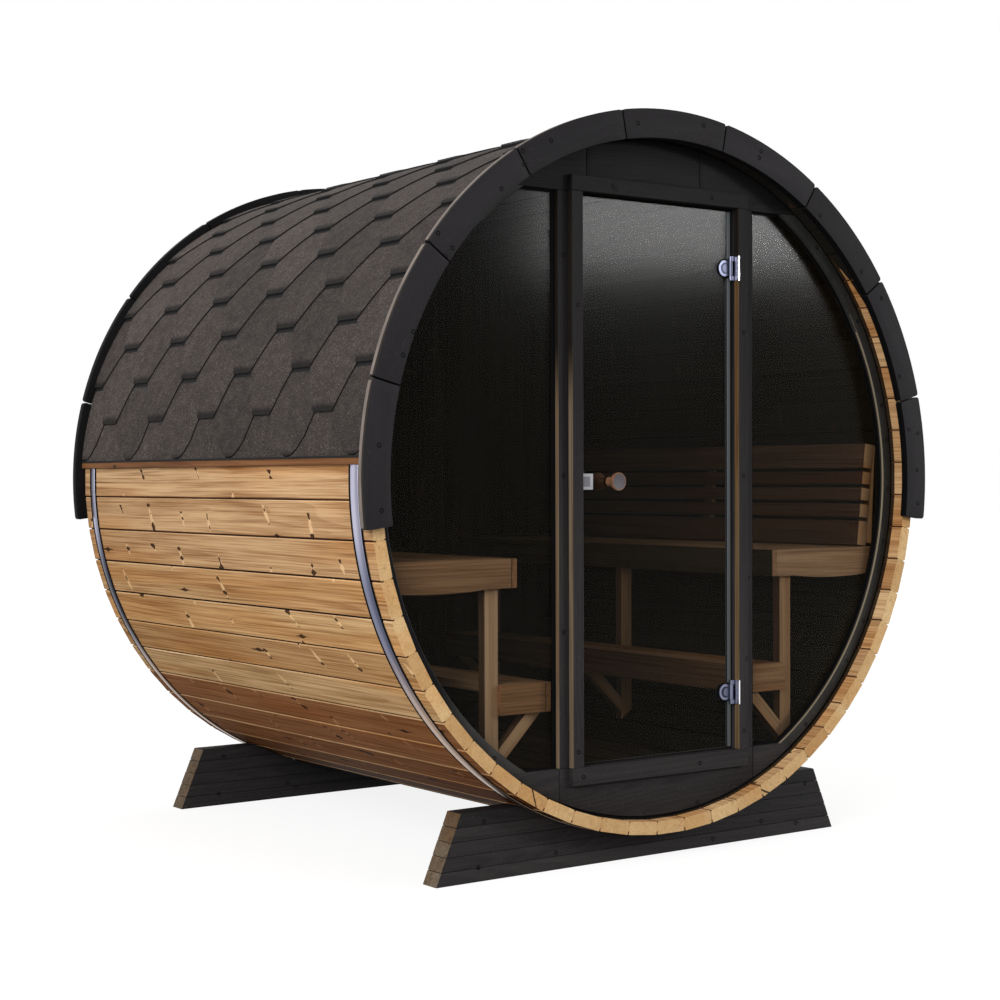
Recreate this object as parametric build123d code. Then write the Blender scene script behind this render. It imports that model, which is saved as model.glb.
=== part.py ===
"""Barrel sauna: a round timber cabin on two cradles, with a glazed front wall and a glass door.

Units are millimetres. +X is to the right when facing the door, +Y runs from the door to the back,
and +Z is up. The origin is on the ground, under the middle of the barrel.
"""
from build123d import *
import math
import os

# ---- barrel ---------------------------------------------------------------------------------
barrel_length = 1790.0
barrel_radius = 1030.0          # to the outer corners of the staves
ground_clearance = 79.0         # under the barrel
stave_count = 60
stave_thickness = 38.0
staves_per_segment = 5
groove_width = 6.0              # V groove between two staves, outside
groove_depth = 2.5
inner_groove_width = 4.0
inner_groove_depth = 1.5
seat_gap = 0.3                  # clearance where a piece beds on a curved surface

# ---- roof -----------------------------------------------------------------------------------
shingle_thickness = 13.0
eave_angle = 3.6                # lower edge of the shingles, degrees above the horizontal
ridge_gap_angle = 0.03          # hairline between the two slopes, degrees
batten_height = 24.0
batten_thickness = 13.0
batten_drop = 0.6               # batten top below the shingles' lower edge
fascia_boards = 9
fascia_board_angle = 21.6
fascia_overhang = 33.0          # beyond the staves
fascia_width = 84.0
fascia_thickness = 26.0
fascia_joint_gap = 2.0
fascia_corner_radius = 9.0

# ---- steel bands ----------------------------------------------------------------------------
band_width = 47.0
band_thickness = 1.5
band_inset = 43.0               # from the end of the staves to the band

# ---- cradles --------------------------------------------------------------------------------
cradle_height = 195.0
cradle_base_half = 760.0
cradle_top_half = 677.5
cradle_thickness = 68.0
cradle_inset = 95.0             # from the end of the staves to the cradle

# ---- front and rear walls -------------------------------------------------------------------
wall_inset = 50.0               # from the end of the staves to the wall's outer face
wall_thickness = 34.0
ring_width = 41.0
opening_rise = 215.0            # wall opening above the lowest point of the barrel
opening_drop = 218.0            # wall opening below the highest point of the barrel
post_inner = 297.5
post_outer = 372.5
frame_thickness = 20.0          # door frame, proud of the wall
frame_side_width = 40.0
head_height = 45.0
sill_height = 51.0
window_glass_thickness = 7.0
window_glass_recess = 18.0      # from the wall's outer face to the glass

# ---- door -----------------------------------------------------------------------------------
door_side_gap = 8.0
door_top_gap = 8.0
door_bottom_gap = 6.0
door_thickness = 8.0
door_recess = 10.0              # from the wall's outer face to the glass
hinge_upper_drop = 180.0        # hinge centre below the opening's top
hinge_lower_rise = 173.0        # hinge centre above the opening's bottom
hinge_side_offset = 14.0        # pin axis from the door opening's side
hinge_pin_inset = 50.0          # pin axis from the end of the staves
hinge_pin_radius = 2.5
hinge_knuckle_radius = 6.0
hinge_knuckle_length = 44.0
hinge_pin_clearance = 0.3
hinge_end_gap = 0.6
leaf_height = 72.0
leaf_depth = 24.0
leaf_thickness = 5.0
leaf_web_height = 13.0
leaf_web_thickness = 6.0
clamp_plate_thickness = 5.5
clamp_radius = 24.0
clamp_arm = 1.2                 # from the round nose to the glass edge
clamp_hole_radius = 10.0
knob_x = -181.0
knob_length = 46.0
knob_face_radius = 26.0
knob_rim = 9.0
knob_neck_radius = 13.5
knob_neck_length = 18.0
catch_width = 45.0
catch_height = 45.5
catch_thickness = 5.0
handle_drop = 7.0               # knobs and catch centre below the barrel axis

# ---- benches --------------------------------------------------------------------------------
bench_end_gap = 3.0             # between a wall's inner face and a bench
bench_board = 20.0              # aprons and end boards
bench_slat_thickness = 27.0
bench_height = 649.5            # above the floor
bench_apron_height = 82.0
bench_aisle = 490.0
bench_slats = 5
bench_slat_gap = 10.0
bench_wall_clearance = 4.0
bench_end_sag = 9.0             # the bowed lower edge of an end board
step_height = 298.0             # above the floor
step_apron_height = 84.0
step_aisle = 372.0
step_slats = 2
step_slat_gap = 8.0
step_overlap = 4.0              # step end board over the post's face
frame_post_inner = 542.0
frame_post_width = 46.0
frame_depth = 30.0
brace_width = 53.0              # measured along the rail
backrest_heights = [82.0, 46.0, 44.0, 44.0, 82.0]
backrest_gap = 8.0
backrest_thickness = 40.0
backrest_foot_gap = 64.8        # from the face of the lowest board to the staves, at its lower edge
backrest_top_gap = 44.2         # from the face of the highest board to the staves, at its upper edge
backrest_lift = 6.0             # above the bench top
backrest_end_inset = 36.0       # from a wall's inner face
backrest_support = 40.0
backrest_support_lift = 12.0    # lower end of a support above the lowest board's edge

# ---- floor ----------------------------------------------------------------------------------
floor_rise = 160.0              # floor top above the lowest point of the barrel
floor_board_width = 100.0
floor_board_gap = 12.0
floor_board_thickness = 25.0
floor_boards = 6
floor_bearer_width = 60.0
floor_bearer_height = 45.0
floor_bearers = 3

# ---- worked out from the sizes above; heights are measured from the barrel axis -------------
axis_height = barrel_radius + ground_clearance
fascia_outer_radius = barrel_radius + fascia_overhang
fascia_inner_radius = fascia_outer_radius - fascia_width
opening_bottom = opening_rise - barrel_radius
opening_top = barrel_radius - opening_drop
hinge_upper_z = opening_top - hinge_upper_drop
hinge_lower_z = opening_bottom + hinge_lower_rise
floor_top = floor_rise - barrel_radius
bench_top = floor_top + bench_height
step_top = floor_top + step_height
front_end = -barrel_length / 2
rear_end = barrel_length / 2
stave_angle = 360.0 / stave_count
half_stave = math.radians(stave_angle / 2)
stave_flat = barrel_radius * math.cos(half_stave)
inner_flat = stave_flat - stave_thickness
room_radius = inner_flat - seat_gap
wall_front = front_end + wall_inset
wall_back = wall_front + wall_thickness
bench_front = wall_back + bench_end_gap
ring_inner = room_radius - ring_width
pin_x = post_inner - hinge_side_offset
pin_y = front_end + hinge_pin_inset
glass_front = wall_front + door_recess
glass_back = glass_front + door_thickness
backrest_height = sum(backrest_heights) + backrest_gap * (len(backrest_heights) - 1)


def room_half_width(z):
    """From the middle of the room to the staves, at a height measured from the barrel axis."""
    return math.sqrt(room_radius ** 2 - z ** 2)


def wall_plane(y):
    """The plane parallel to the end walls at the given y: local x is +X, local y is +Z."""
    return Plane.XZ.offset(-y)


def slab(sketch, y_low, y_high):
    """A sketch drawn about the barrel axis, made solid from y_low to y_high."""
    return extrude(wall_plane(y_high) * Pos(0, axis_height) * sketch, amount=y_high - y_low)


def panel(x_low, x_high, z_low, z_high):
    """A rectangle drawn about the barrel axis."""
    return Pos((x_low + x_high) / 2, (z_low + z_high) / 2) * Rectangle(x_high - x_low, z_high - z_low)


def block(x_low, x_high, y_low, y_high, z_low, z_high):
    """A box, with heights measured from the barrel axis."""
    return slab(panel(x_low, x_high, z_low, z_high), y_low, y_high)


def polar(radius, degrees):
    angle = math.radians(degrees)
    return (radius * math.cos(angle), radius * math.sin(angle))


def ring_sector(inner, outer, start, end):
    """Part of a flat ring about the barrel axis, with angles in degrees from +X towards +Z."""
    outer_arc = CenterArc((0, 0), outer, start, end - start)
    inner_arc = CenterArc((0, 0), inner, start, end - start)
    first_side = Line(inner_arc @ 0, outer_arc @ 0)
    last_side = Line(outer_arc @ 1, inner_arc @ 1)
    return make_face(outer_arc + last_side + inner_arc + first_side)


def both_ends(front_solid):
    """A solid at the front and its mirror image at the back."""
    return [front_solid, mirror(front_solid, about=Plane.XZ)]


def left_of(right_solid):
    return mirror(right_solid, about=Plane.YZ)


def write(name, solids):
    """Write one STEP file, named after the piece."""
    shapes = [solid for item in solids for solid in item.solids()]
    export_step(Compound(children=shapes, label=name), "parts/" + name + ".step")


# ---- staves ---------------------------------------------------------------------------------
def stave_face(centre, flat, groove, depth):
    """The outer or inner face of one stave in section, from the joint before it to its last chamfer."""
    half_width = flat * math.tan(half_stave) - groove / 2
    joint = flat / math.cos(half_stave) + depth
    turn = math.degrees(math.atan2(half_width, flat))
    face_radius = math.hypot(half_width, flat)
    start = centre - stave_angle / 2
    return [polar(joint, start), polar(face_radius, centre - turn), polar(face_radius, centre + turn)]


def stave_segment(first_joint):
    """Several staves side by side, with V grooves at the joints."""
    outside = []
    inside = []
    for index in range(staves_per_segment):
        centre = first_joint + (index + 0.5) * stave_angle
        outside += stave_face(centre, stave_flat, groove_width, -groove_depth)
        inside += stave_face(centre, inner_flat, inner_groove_width, inner_groove_depth)
    last_joint = first_joint + staves_per_segment * stave_angle
    outside.append(polar(barrel_radius - groove_depth, last_joint))
    inside.append(polar(inner_flat / math.cos(half_stave) + inner_groove_depth, last_joint))
    outline = Polyline(outside + inside[::-1], close=True)
    return slab(make_face(outline), front_end, rear_end)


def make_staves():
    segment_angle = staves_per_segment * stave_angle
    for index in range(stave_count // staves_per_segment):
        segment = stave_segment(stave_angle / 2 + index * segment_angle)
        write(f"staves_{index + 1:02d}", [segment])


# ---- roof, battens and bands ----------------------------------------------------------------
def make_roof():
    outer = barrel_radius + shingle_thickness
    right = slab(ring_sector(barrel_radius, outer, eave_angle, 90 - ridge_gap_angle), front_end, rear_end)
    write("roof_right", [right])
    write("roof_left", [left_of(right)])


def make_battens():
    top = barrel_radius * math.sin(math.radians(eave_angle)) - batten_drop
    right = block(stave_flat, stave_flat + batten_thickness, front_end, rear_end, top - batten_height, top)
    write("eave_battens", [right, left_of(right)])
    return top - batten_height


def make_bands(band_top):
    inner = barrel_radius + seat_gap
    outer = inner + band_thickness
    rise = math.degrees(math.asin(band_top / outer))
    band = ring_sector(inner, outer, -180 - rise, rise)
    front = slab(band, front_end + band_inset, front_end + band_inset + band_width)
    write("steel_bands", both_ends(front))


def make_fascia():
    gap = math.degrees(fascia_joint_gap / fascia_outer_radius)
    middle = (fascia_inner_radius + fascia_outer_radius) / 2
    first = 90 - fascia_boards * fascia_board_angle / 2
    boards = []
    for index in range(fascia_boards):
        start = first + index * fascia_board_angle + gap / 2
        board = ring_sector(fascia_inner_radius, fascia_outer_radius, start, start + fascia_board_angle - gap)
        corners = [v for v in board.vertices() if math.hypot(v.X, v.Y) > middle]
        boards.append(slab(fillet(corners, fascia_corner_radius), front_end - fascia_thickness, front_end))
    write("front_fascia", boards)
    write("rear_fascia", [mirror(board, about=Plane.XZ) for board in boards])


# ---- cradles --------------------------------------------------------------------------------
def make_cradles():
    ground = -axis_height
    top = ground + cradle_height
    corners = [(-cradle_base_half, ground), (cradle_base_half, ground), (cradle_top_half, top),
               (-cradle_top_half, top)]
    profile = make_face(Polyline(corners, close=True)) - Circle(barrel_radius + seat_gap)
    start = front_end + cradle_inset
    front, rear = both_ends(slab(profile, start, start + cradle_thickness))
    write("front_cradle", [front])
    write("rear_cradle", [rear])


# ---- front and rear walls -------------------------------------------------------------------
def make_front_wall():
    disc = Circle(room_radius)
    reach = room_radius + 1
    write("front_top_panel", [slab(disc & panel(-reach, reach, opening_top, reach), wall_front, wall_back)])
    write("front_bottom_panel",
          [slab(disc & panel(-reach, reach, -reach, opening_bottom), wall_front, wall_back)])

    side = panel(post_outer, reach, opening_bottom, opening_top)
    ring = slab((disc - Circle(ring_inner)) & side, wall_front, wall_back)
    write("front_ring", [ring, left_of(ring)])

    post = block(post_inner, post_outer, wall_front, wall_back, opening_bottom, opening_top)
    write("window_posts", [post, left_of(post)])

    clear = panel(post_outer + seat_gap, reach, opening_bottom + seat_gap, opening_top - seat_gap)
    glass_y = wall_front + window_glass_recess
    glass = slab(Circle(ring_inner - seat_gap) & clear, glass_y, glass_y + window_glass_thickness)
    write("right_window", [glass])
    write("left_window", [left_of(glass)])


def make_rear_wall():
    write("rear_wall", [slab(Circle(room_radius), -wall_back, -wall_front)])


def make_door_frame():
    front = wall_front - frame_thickness
    outer = post_inner + frame_side_width
    side = block(post_inner, outer, front, wall_front, opening_bottom, opening_top)
    write("door_jambs", [side, left_of(side)])
    write("door_head", [block(-outer, outer, front, wall_front, opening_top, opening_top + head_height)])
    write("door_sill", [block(-outer, outer, front, wall_front, opening_bottom - sill_height, opening_bottom)])


# ---- door -----------------------------------------------------------------------------------
def upright(radius, z_low, z_high):
    """A cylinder on the hinge axis, with heights measured from the barrel axis."""
    middle = axis_height + (z_low + z_high) / 2
    return Pos(pin_x, pin_y, middle) * Cylinder(radius, z_high - z_low)


def make_door_glass():
    half_width = post_inner - door_side_gap
    low = opening_bottom + door_bottom_gap
    high = opening_top - door_top_gap
    write("door_glass", [block(-half_width, half_width, glass_front, glass_back, low, high)])


def fixed_leaf(z):
    """The hinge half on the frame: a leaf, two webs with their knuckles, and the pin."""
    leaf_front = wall_front - leaf_depth
    leaf = block(post_inner - leaf_thickness, post_inner, leaf_front, wall_front,
                 z - leaf_height / 2, z + leaf_height / 2)
    pin_low = z - hinge_knuckle_length / 2 - hinge_end_gap - leaf_web_height
    pin_high = z + hinge_knuckle_length / 2 + hinge_end_gap + leaf_web_height
    solid = leaf + upright(hinge_pin_radius, pin_low, pin_high)
    for low in (pin_low, pin_high - leaf_web_height):
        web = block(pin_x, post_inner - leaf_thickness, pin_y - leaf_web_thickness, pin_y,
                    low, low + leaf_web_height)
        solid += upright(hinge_knuckle_radius, low, low + leaf_web_height) + web
    return solid


def clamp(z):
    """The hinge half on the glass: a round-nosed plate on each side and the knuckle."""
    glass_edge = post_inner - door_side_gap
    centre = glass_edge - clamp_arm - clamp_radius
    outline = Pos(centre, z) * Circle(clamp_radius)
    outline += panel(centre, glass_edge, z - hinge_knuckle_length / 2, z + hinge_knuckle_length / 2)
    hole = Pos(centre, z) * Circle(clamp_hole_radius)
    front = slab(outline - hole, glass_front - clamp_plate_thickness, glass_front)
    back = slab(outline, glass_back, glass_back + clamp_plate_thickness)
    knuckle = upright(hinge_knuckle_radius, z - hinge_knuckle_length / 2, z + hinge_knuckle_length / 2)
    bore = upright(hinge_pin_radius + hinge_pin_clearance, z - hinge_knuckle_length, z + hinge_knuckle_length)
    return [front + knuckle - bore, back]


def make_hinges():
    heights = (hinge_lower_z, hinge_upper_z)
    write("hinge_leaves", [fixed_leaf(z) for z in heights])
    write("door_hinges", [solid for z in heights for solid in clamp(z)])


def make_door_furniture():
    face = knob_length
    profile = Polyline([(0, 0), (knob_neck_radius, 0), (knob_neck_radius, knob_neck_length),
                        (knob_face_radius, face - knob_rim), (knob_face_radius, face), (0, face)], close=True)
    knob = revolve(Plane.XZ * make_face(profile), Axis.Z)
    height = axis_height - handle_drop
    outside = Pos(knob_x, glass_front, height) * Rot(90, 0, 0) * knob
    inside = Pos(knob_x, glass_back, height) * Rot(-90, 0, 0) * knob
    write("door_knobs", [outside, inside])

    edge = -(post_inner - door_side_gap)
    catch = block(edge, edge + catch_width, glass_front - catch_thickness, glass_front,
                  -handle_drop - catch_height / 2, -handle_drop + catch_height / 2)
    write("door_catch", [catch])


# ---- benches --------------------------------------------------------------------------------
def bench_top_solid():
    """Slats inside an apron and two end boards, for the right-hand side."""
    room = Circle(room_radius)
    low = bench_top - bench_apron_height
    under = bench_top - bench_slat_thickness
    slat_start = bench_aisle + bench_board
    slat_end = room_half_width(under) - bench_wall_clearance
    slat_width = (slat_end - slat_start - (bench_slats - 1) * bench_slat_gap) / bench_slats
    solid = block(bench_aisle, slat_start, bench_front, -bench_front, low, bench_top)
    for index in range(bench_slats):
        x = slat_start + index * (slat_width + bench_slat_gap)
        solid += block(x, x + slat_width, bench_front + bench_board, -bench_front - bench_board,
                       under, bench_top)
    bow_start = frame_post_inner + frame_post_width
    bow_end = slat_end - bench_board
    bow = ThreePointArc((bow_start, low), ((bow_start + bow_end) / 2, low - bench_end_sag), (bow_end, low))
    belly = make_face(bow + Line((bow_end, low), (bow_start, low)))
    outline = (panel(slat_start, room_radius, low, bench_top) + belly) & room
    for end in both_ends(slab(outline, bench_front, bench_front + bench_board)):
        solid += end
    return solid


def step_solid():
    """The narrow lower bench, cantilevered towards the aisle, for the right-hand side."""
    low = step_top - step_apron_height
    under = step_top - bench_slat_thickness
    slat_start = step_aisle + bench_board
    slat_width = (frame_post_inner - slat_start - (step_slats - 1) * step_slat_gap) / step_slats
    solid = block(step_aisle, slat_start, bench_front, -bench_front, low, step_top)
    for index in range(step_slats):
        x = slat_start + index * (slat_width + step_slat_gap)
        solid += block(x, x + slat_width, bench_front + bench_board, -bench_front - bench_board,
                       under, step_top)
    end_board = block(slat_start, frame_post_inner + step_overlap, bench_front, bench_front + bench_board,
                      low, step_top)
    for end in both_ends(end_board):
        solid += end
    return solid


def bench_frame(y_low):
    """Post, seat rail, step rail and brace in one plane, for the right-hand side."""
    room = Circle(room_radius)
    rail_top = bench_top - bench_slat_thickness
    rail_low = bench_top - bench_apron_height
    step_rail_top = step_top - bench_slat_thickness
    step_rail_low = step_top - step_apron_height
    step_start = step_aisle + bench_board
    post_end = frame_post_inner + frame_post_width
    outline = panel(frame_post_inner, post_end, -room_radius, rail_top)
    outline += panel(bench_aisle + bench_board, room_radius, rail_low, rail_top)
    outline += panel(step_start, frame_post_inner, step_rail_low, step_rail_top)
    run = frame_post_inner - step_start
    brace = [(step_start, step_rail_low), (step_start + brace_width, step_rail_low),
             (frame_post_inner, step_rail_low - run + brace_width), (frame_post_inner, step_rail_low - run)]
    outline += make_face(Polyline(brace, close=True))
    return slab(outline & room, y_low, y_low + frame_depth)


def backrest_solid():
    """Five thick boards that lean with the wall, on wedge-shaped supports, for the right-hand side."""
    foot_z = bench_top + backrest_lift
    foot_x = room_half_width(foot_z) - backrest_foot_gap
    top_x = room_half_width(foot_z + backrest_height) - backrest_top_gap
    placing = Location((foot_x, foot_z), -math.degrees(math.asin((top_x - foot_x) / backrest_height)))
    start = wall_back + backrest_end_inset
    solid = None
    height = 0.0
    for board_height in backrest_heights:
        board = placing * panel(0, backrest_thickness, height, height + board_height)
        piece = slab(board & Circle(room_radius), start, -start)
        solid = piece if solid is None else solid + piece
        height += board_height + backrest_gap
    wedge = placing * panel(backrest_thickness, 2 * backrest_thickness, backrest_support_lift, backrest_height)
    for y in (start, -backrest_support / 2, -start - backrest_support):
        solid += slab(wedge & Circle(room_radius), y, y + backrest_support)
    return solid


def make_benches():
    frame_start = bench_front + bench_board
    frames = [bench_frame(y) for y in (frame_start, -frame_depth / 2, -frame_start - frame_depth)]
    top = bench_top_solid()
    step = step_solid()
    back = backrest_solid()
    write("right_bench_frames", frames)
    write("left_bench_frames", [left_of(frame) for frame in frames])
    for name, solid in (("upper_bench", top), ("lower_bench", step), ("backrest", back)):
        write("right_" + name, [solid])
        write("left_" + name, [left_of(solid)])


# ---- floor ----------------------------------------------------------------------------------
def make_floor():
    """Duckboards along the aisle, joined by cross bearers that bed on the staves."""
    pitch = floor_board_width + floor_board_gap
    half = (floor_boards * pitch - floor_board_gap) / 2
    low = floor_top - floor_board_thickness
    bearer = panel(-half, half, low - floor_bearer_height, low) & Circle(room_radius)
    first = bench_front + floor_board_width
    spacing = (-2 * first - floor_bearer_width) / (floor_bearers - 1)
    solid = None
    for index in range(floor_boards):
        x = -half + index * pitch
        board = block(x, x + floor_board_width, bench_front, -bench_front, low, floor_top)
        solid = board if solid is None else solid + board
    for index in range(floor_bearers):
        y = first + index * spacing
        solid += slab(bearer, y, y + floor_bearer_width)
    write("floor_boards", [solid])


def main():
    os.makedirs("parts", exist_ok=True)
    make_staves()
    make_roof()
    make_bands(make_battens())
    make_fascia()
    make_cradles()
    make_front_wall()
    make_rear_wall()
    make_door_frame()
    make_door_glass()
    make_hinges()
    make_door_furniture()
    make_benches()
    make_floor()


main()
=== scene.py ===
"""Looks of the barrel sauna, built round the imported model. Units are metres.

+X is to the right when facing the door, +Y runs from the door to the back, +Z is up, and the
barrel's axis lies along Y. Every board is built in its own frame, x along its grain, and carries
that place as the attribute "grain", which the wood materials read.
"""

import math
import random
from functools import cached_property

import bmesh
import bpy
import numpy as np
from mathutils import Matrix, Vector


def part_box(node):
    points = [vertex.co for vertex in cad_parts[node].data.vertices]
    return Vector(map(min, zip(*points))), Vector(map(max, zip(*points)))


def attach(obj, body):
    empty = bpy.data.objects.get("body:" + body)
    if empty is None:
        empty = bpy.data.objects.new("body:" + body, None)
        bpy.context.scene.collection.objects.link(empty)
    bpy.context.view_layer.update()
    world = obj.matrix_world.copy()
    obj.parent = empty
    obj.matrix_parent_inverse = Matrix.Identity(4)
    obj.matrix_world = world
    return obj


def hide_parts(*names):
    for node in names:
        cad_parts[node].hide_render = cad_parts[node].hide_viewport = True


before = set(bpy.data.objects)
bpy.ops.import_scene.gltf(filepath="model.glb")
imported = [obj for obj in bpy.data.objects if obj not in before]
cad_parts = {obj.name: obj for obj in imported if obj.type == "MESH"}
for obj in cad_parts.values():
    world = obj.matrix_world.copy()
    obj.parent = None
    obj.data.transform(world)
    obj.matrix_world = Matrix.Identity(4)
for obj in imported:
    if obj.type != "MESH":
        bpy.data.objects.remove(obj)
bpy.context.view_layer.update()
rng = random.Random(7)


# ---- places read from the frame -----------------------------------------------------------------
def low(node, axis):
    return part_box(node)[0][axis]


def high(node, axis):
    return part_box(node)[1][axis]


X, Y, Z = 0, 1, 2
AXIS_Z = (low("rear_wall", Z) + high("rear_wall", Z)) / 2
ROOM_RADIUS = high("rear_wall", X)
RING_INNER = ROOM_RADIUS - 0.041
FRONT = low("staves_01", Y)
REAR = high("staves_01", Y)
STAVES = 60
STAVES_PER_NODE = 5
STAVE_NODES = STAVES // STAVES_PER_NODE
HALF_STAVE = math.pi / STAVES
STAVE_FLAT = AXIS_Z - min(low(f"staves_{i + 1:02d}", Z) for i in range(STAVE_NODES))
BARREL_RADIUS = STAVE_FLAT / math.cos(HALF_STAVE)
STAVE_INNER = ROOM_RADIUS + 0.0003
ROOF_RADIUS = high("roof_right", Z) - AXIS_Z
BAND_RADIUS = AXIS_Z - low("steel_bands", Z)
LEAF_FRONT = low("hinge_leaves", Y)
FASCIA_FRONT = low("front_fascia", Y)
WALL_FRONT = low("window_posts", Y)
WALL_BACK = high("window_posts", Y)
OPENING_LOW = low("window_posts", Z) - AXIS_Z         # the wall's opening, about the axis
OPENING_HIGH = high("window_posts", Z) - AXIS_Z


# ---- materials ----------------------------------------------------------------------------------
class Num:
    """A number, vector or colour inside a material, with + - * / and a few shaping methods."""

    def __init__(self, shader, socket):
        self.shader = shader
        self.socket = socket

    def _math(self, operation, other=0.0, swap=False, clamp=False):
        a, b = (other, self) if swap else (self, other)
        return self.shader.node("Math", {0: a, 1: b}, operation=operation, use_clamp=clamp)

    def __add__(self, other):
        return self._math("ADD", other)

    def __sub__(self, other):
        return self._math("SUBTRACT", other)

    def __rsub__(self, other):
        return self._math("SUBTRACT", other, swap=True)

    def __mul__(self, other):
        return self._math("MULTIPLY", other)

    def __truediv__(self, other):
        return self._math("DIVIDE", other)

    def abs(self):
        return self._math("ABSOLUTE")

    def root(self):
        return self._math("SQRT")

    def clamp(self):
        return self._math("ADD", 0.0, clamp=True)

    def ramp(self, start, end, low_value=0.0, high_value=1.0):
        """Goes smoothly from low_value at start to high_value at end."""
        return self.shader.node("MapRange", {0: self, 1: start, 2: end, 3: low_value, 4: high_value},
                                interpolation_type="SMOOTHSTEP")

    def fall(self, start, end):
        """Goes smoothly from 1 at start to 0 at end."""
        return self.ramp(start, end, 1.0, 0.0)

    def growth(self):
        """A growth ring for each whole number, which rises slowly and ends quickly."""
        phase = self._math("FRACT")
        return phase.ramp(0.10, 0.88) * phase.fall(0.92, 1.0)

    def scaled(self, factors):
        return self.shader.node("VectorMath", {0: self, 1: factors}, operation="MULTIPLY")

    def parts(self):
        made = self.shader.node("SeparateXYZ", {0: self}).socket.node
        return [Num(self.shader, socket) for socket in made.outputs]


class Shader:
    """A short way to write a node material."""

    def __init__(self, owner, output="OutputMaterial"):
        self.owner = owner
        owner.use_nodes = True
        self.tree = owner.node_tree
        self.tree.nodes.clear()
        self.output = self.tree.nodes.new("ShaderNode" + output)

    def node(self, kind, inputs=None, output=0, **settings):
        made = self.tree.nodes.new("ShaderNode" + kind)
        for key, value in settings.items():
            setattr(made, key, value)
        for key, value in (inputs or {}).items():
            self.put(made.inputs[key], value)
        return Num(self, made.outputs[output])

    def put(self, socket, value):
        if isinstance(value, Num):
            self.tree.links.new(value.socket, socket)
        elif isinstance(value, tuple) and socket.type == "RGBA":
            socket.default_value = (*value, 1.0)
        else:
            socket.default_value = value

    @cached_property
    def grain(self):
        return self.node("Attribute", attribute_name="grain", output="Vector")

    @cached_property
    def tone(self):
        return self.node("Attribute", attribute_name="tone", output="Fac")

    @cached_property
    def place(self):
        return self.node("TexCoord", output="Object")

    def combine(self, x, y, z=0.0):
        return self.node("CombineXYZ", {0: x, 1: y, 2: z})

    def noise(self, vector, scale=1.0, detail=2.0, roughness=0.5):
        return self.node("TexNoise", {"Vector": vector, "Scale": scale, "Detail": detail,
                                      "Roughness": roughness})

    def streaks(self, along, across, detail=2.0, roughness=0.5):
        """Noise over the grain, this fine along it and across it."""
        return self.noise(self.grain.scaled((along, across, across)), 1.0, detail, roughness)

    def cells(self, vector, randomness=1.0, dimensions="2D"):
        """Cells of about unit size: the vector from each one's middle, and three random numbers."""
        made = self.node("TexVoronoi", {"Vector": vector, "Scale": 1.0, "Randomness": randomness},
                         voronoi_dimensions=dimensions).socket.node
        middle = Num(self, made.outputs["Position"])
        away = self.node("VectorMath", {0: vector, 1: middle}, operation="SUBTRACT")
        return away, Num(self, made.outputs["Color"]).parts()

    def board_cells(self, along, across, randomness, start=0.0):
        """Cells of a board, so many in a metre along and across it: the metres along and across from
        each one's middle, and three random numbers."""
        x, y, z = self.grain.parts()
        away, chances = self.cells(self.combine(x * along + start, (y + z) * across), randomness)
        return *away.scaled((1 / along, 1 / across, 0.0)).parts()[:2], *chances

    def mix(self, factor, a, b, blend="MIX"):
        return self.node("Mix", {0: factor, 6: a, 7: b}, output=2, data_type="RGBA", blend_type=blend)

    def tint(self, colour, by):
        return self.mix(1.0, colour, by, blend="MULTIPLY")

    def shade(self, colour, amount):
        """The colour made lighter or darker by a factor."""
        return self.tint(colour, self.combine(amount, amount, amount))

    def surface(self, colour, roughness, relief=None, sheen=None, **inputs):
        """Ends the material with a Principled surface. relief is a height, strength and distance."""
        inputs.update({"Base Color": colour, "Roughness": roughness})
        if relief:
            inputs["Normal"] = self.node("Bump", dict(zip(("Height", "Strength", "Distance"), relief)))
        if sheen is not None:
            inputs["Specular IOR Level"] = sheen
        return self.end(self.node("BsdfPrincipled", inputs))

    def end(self, shader):
        self.tree.links.new(shader.socket, self.output.inputs[0])
        return self.owner

    def seen(self):
        """1 for what the camera, a reflection or a view through glass sees, 0 for light that falls."""
        camera, glossy, through = (self.node("LightPath", output=kind + " Ray")
                                   for kind in ("Is Camera", "Is Glossy", "Is Transmission"))
        return camera._math("MAXIMUM", glossy._math("MAXIMUM", through))


def new_material(name):
    return Shader(bpy.data.materials.new(name))


def times(colour, factor):
    return tuple(min(1.0, c * factor) for c in colour)


KNOT = (0.042, 0.018, 0.009)


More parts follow.
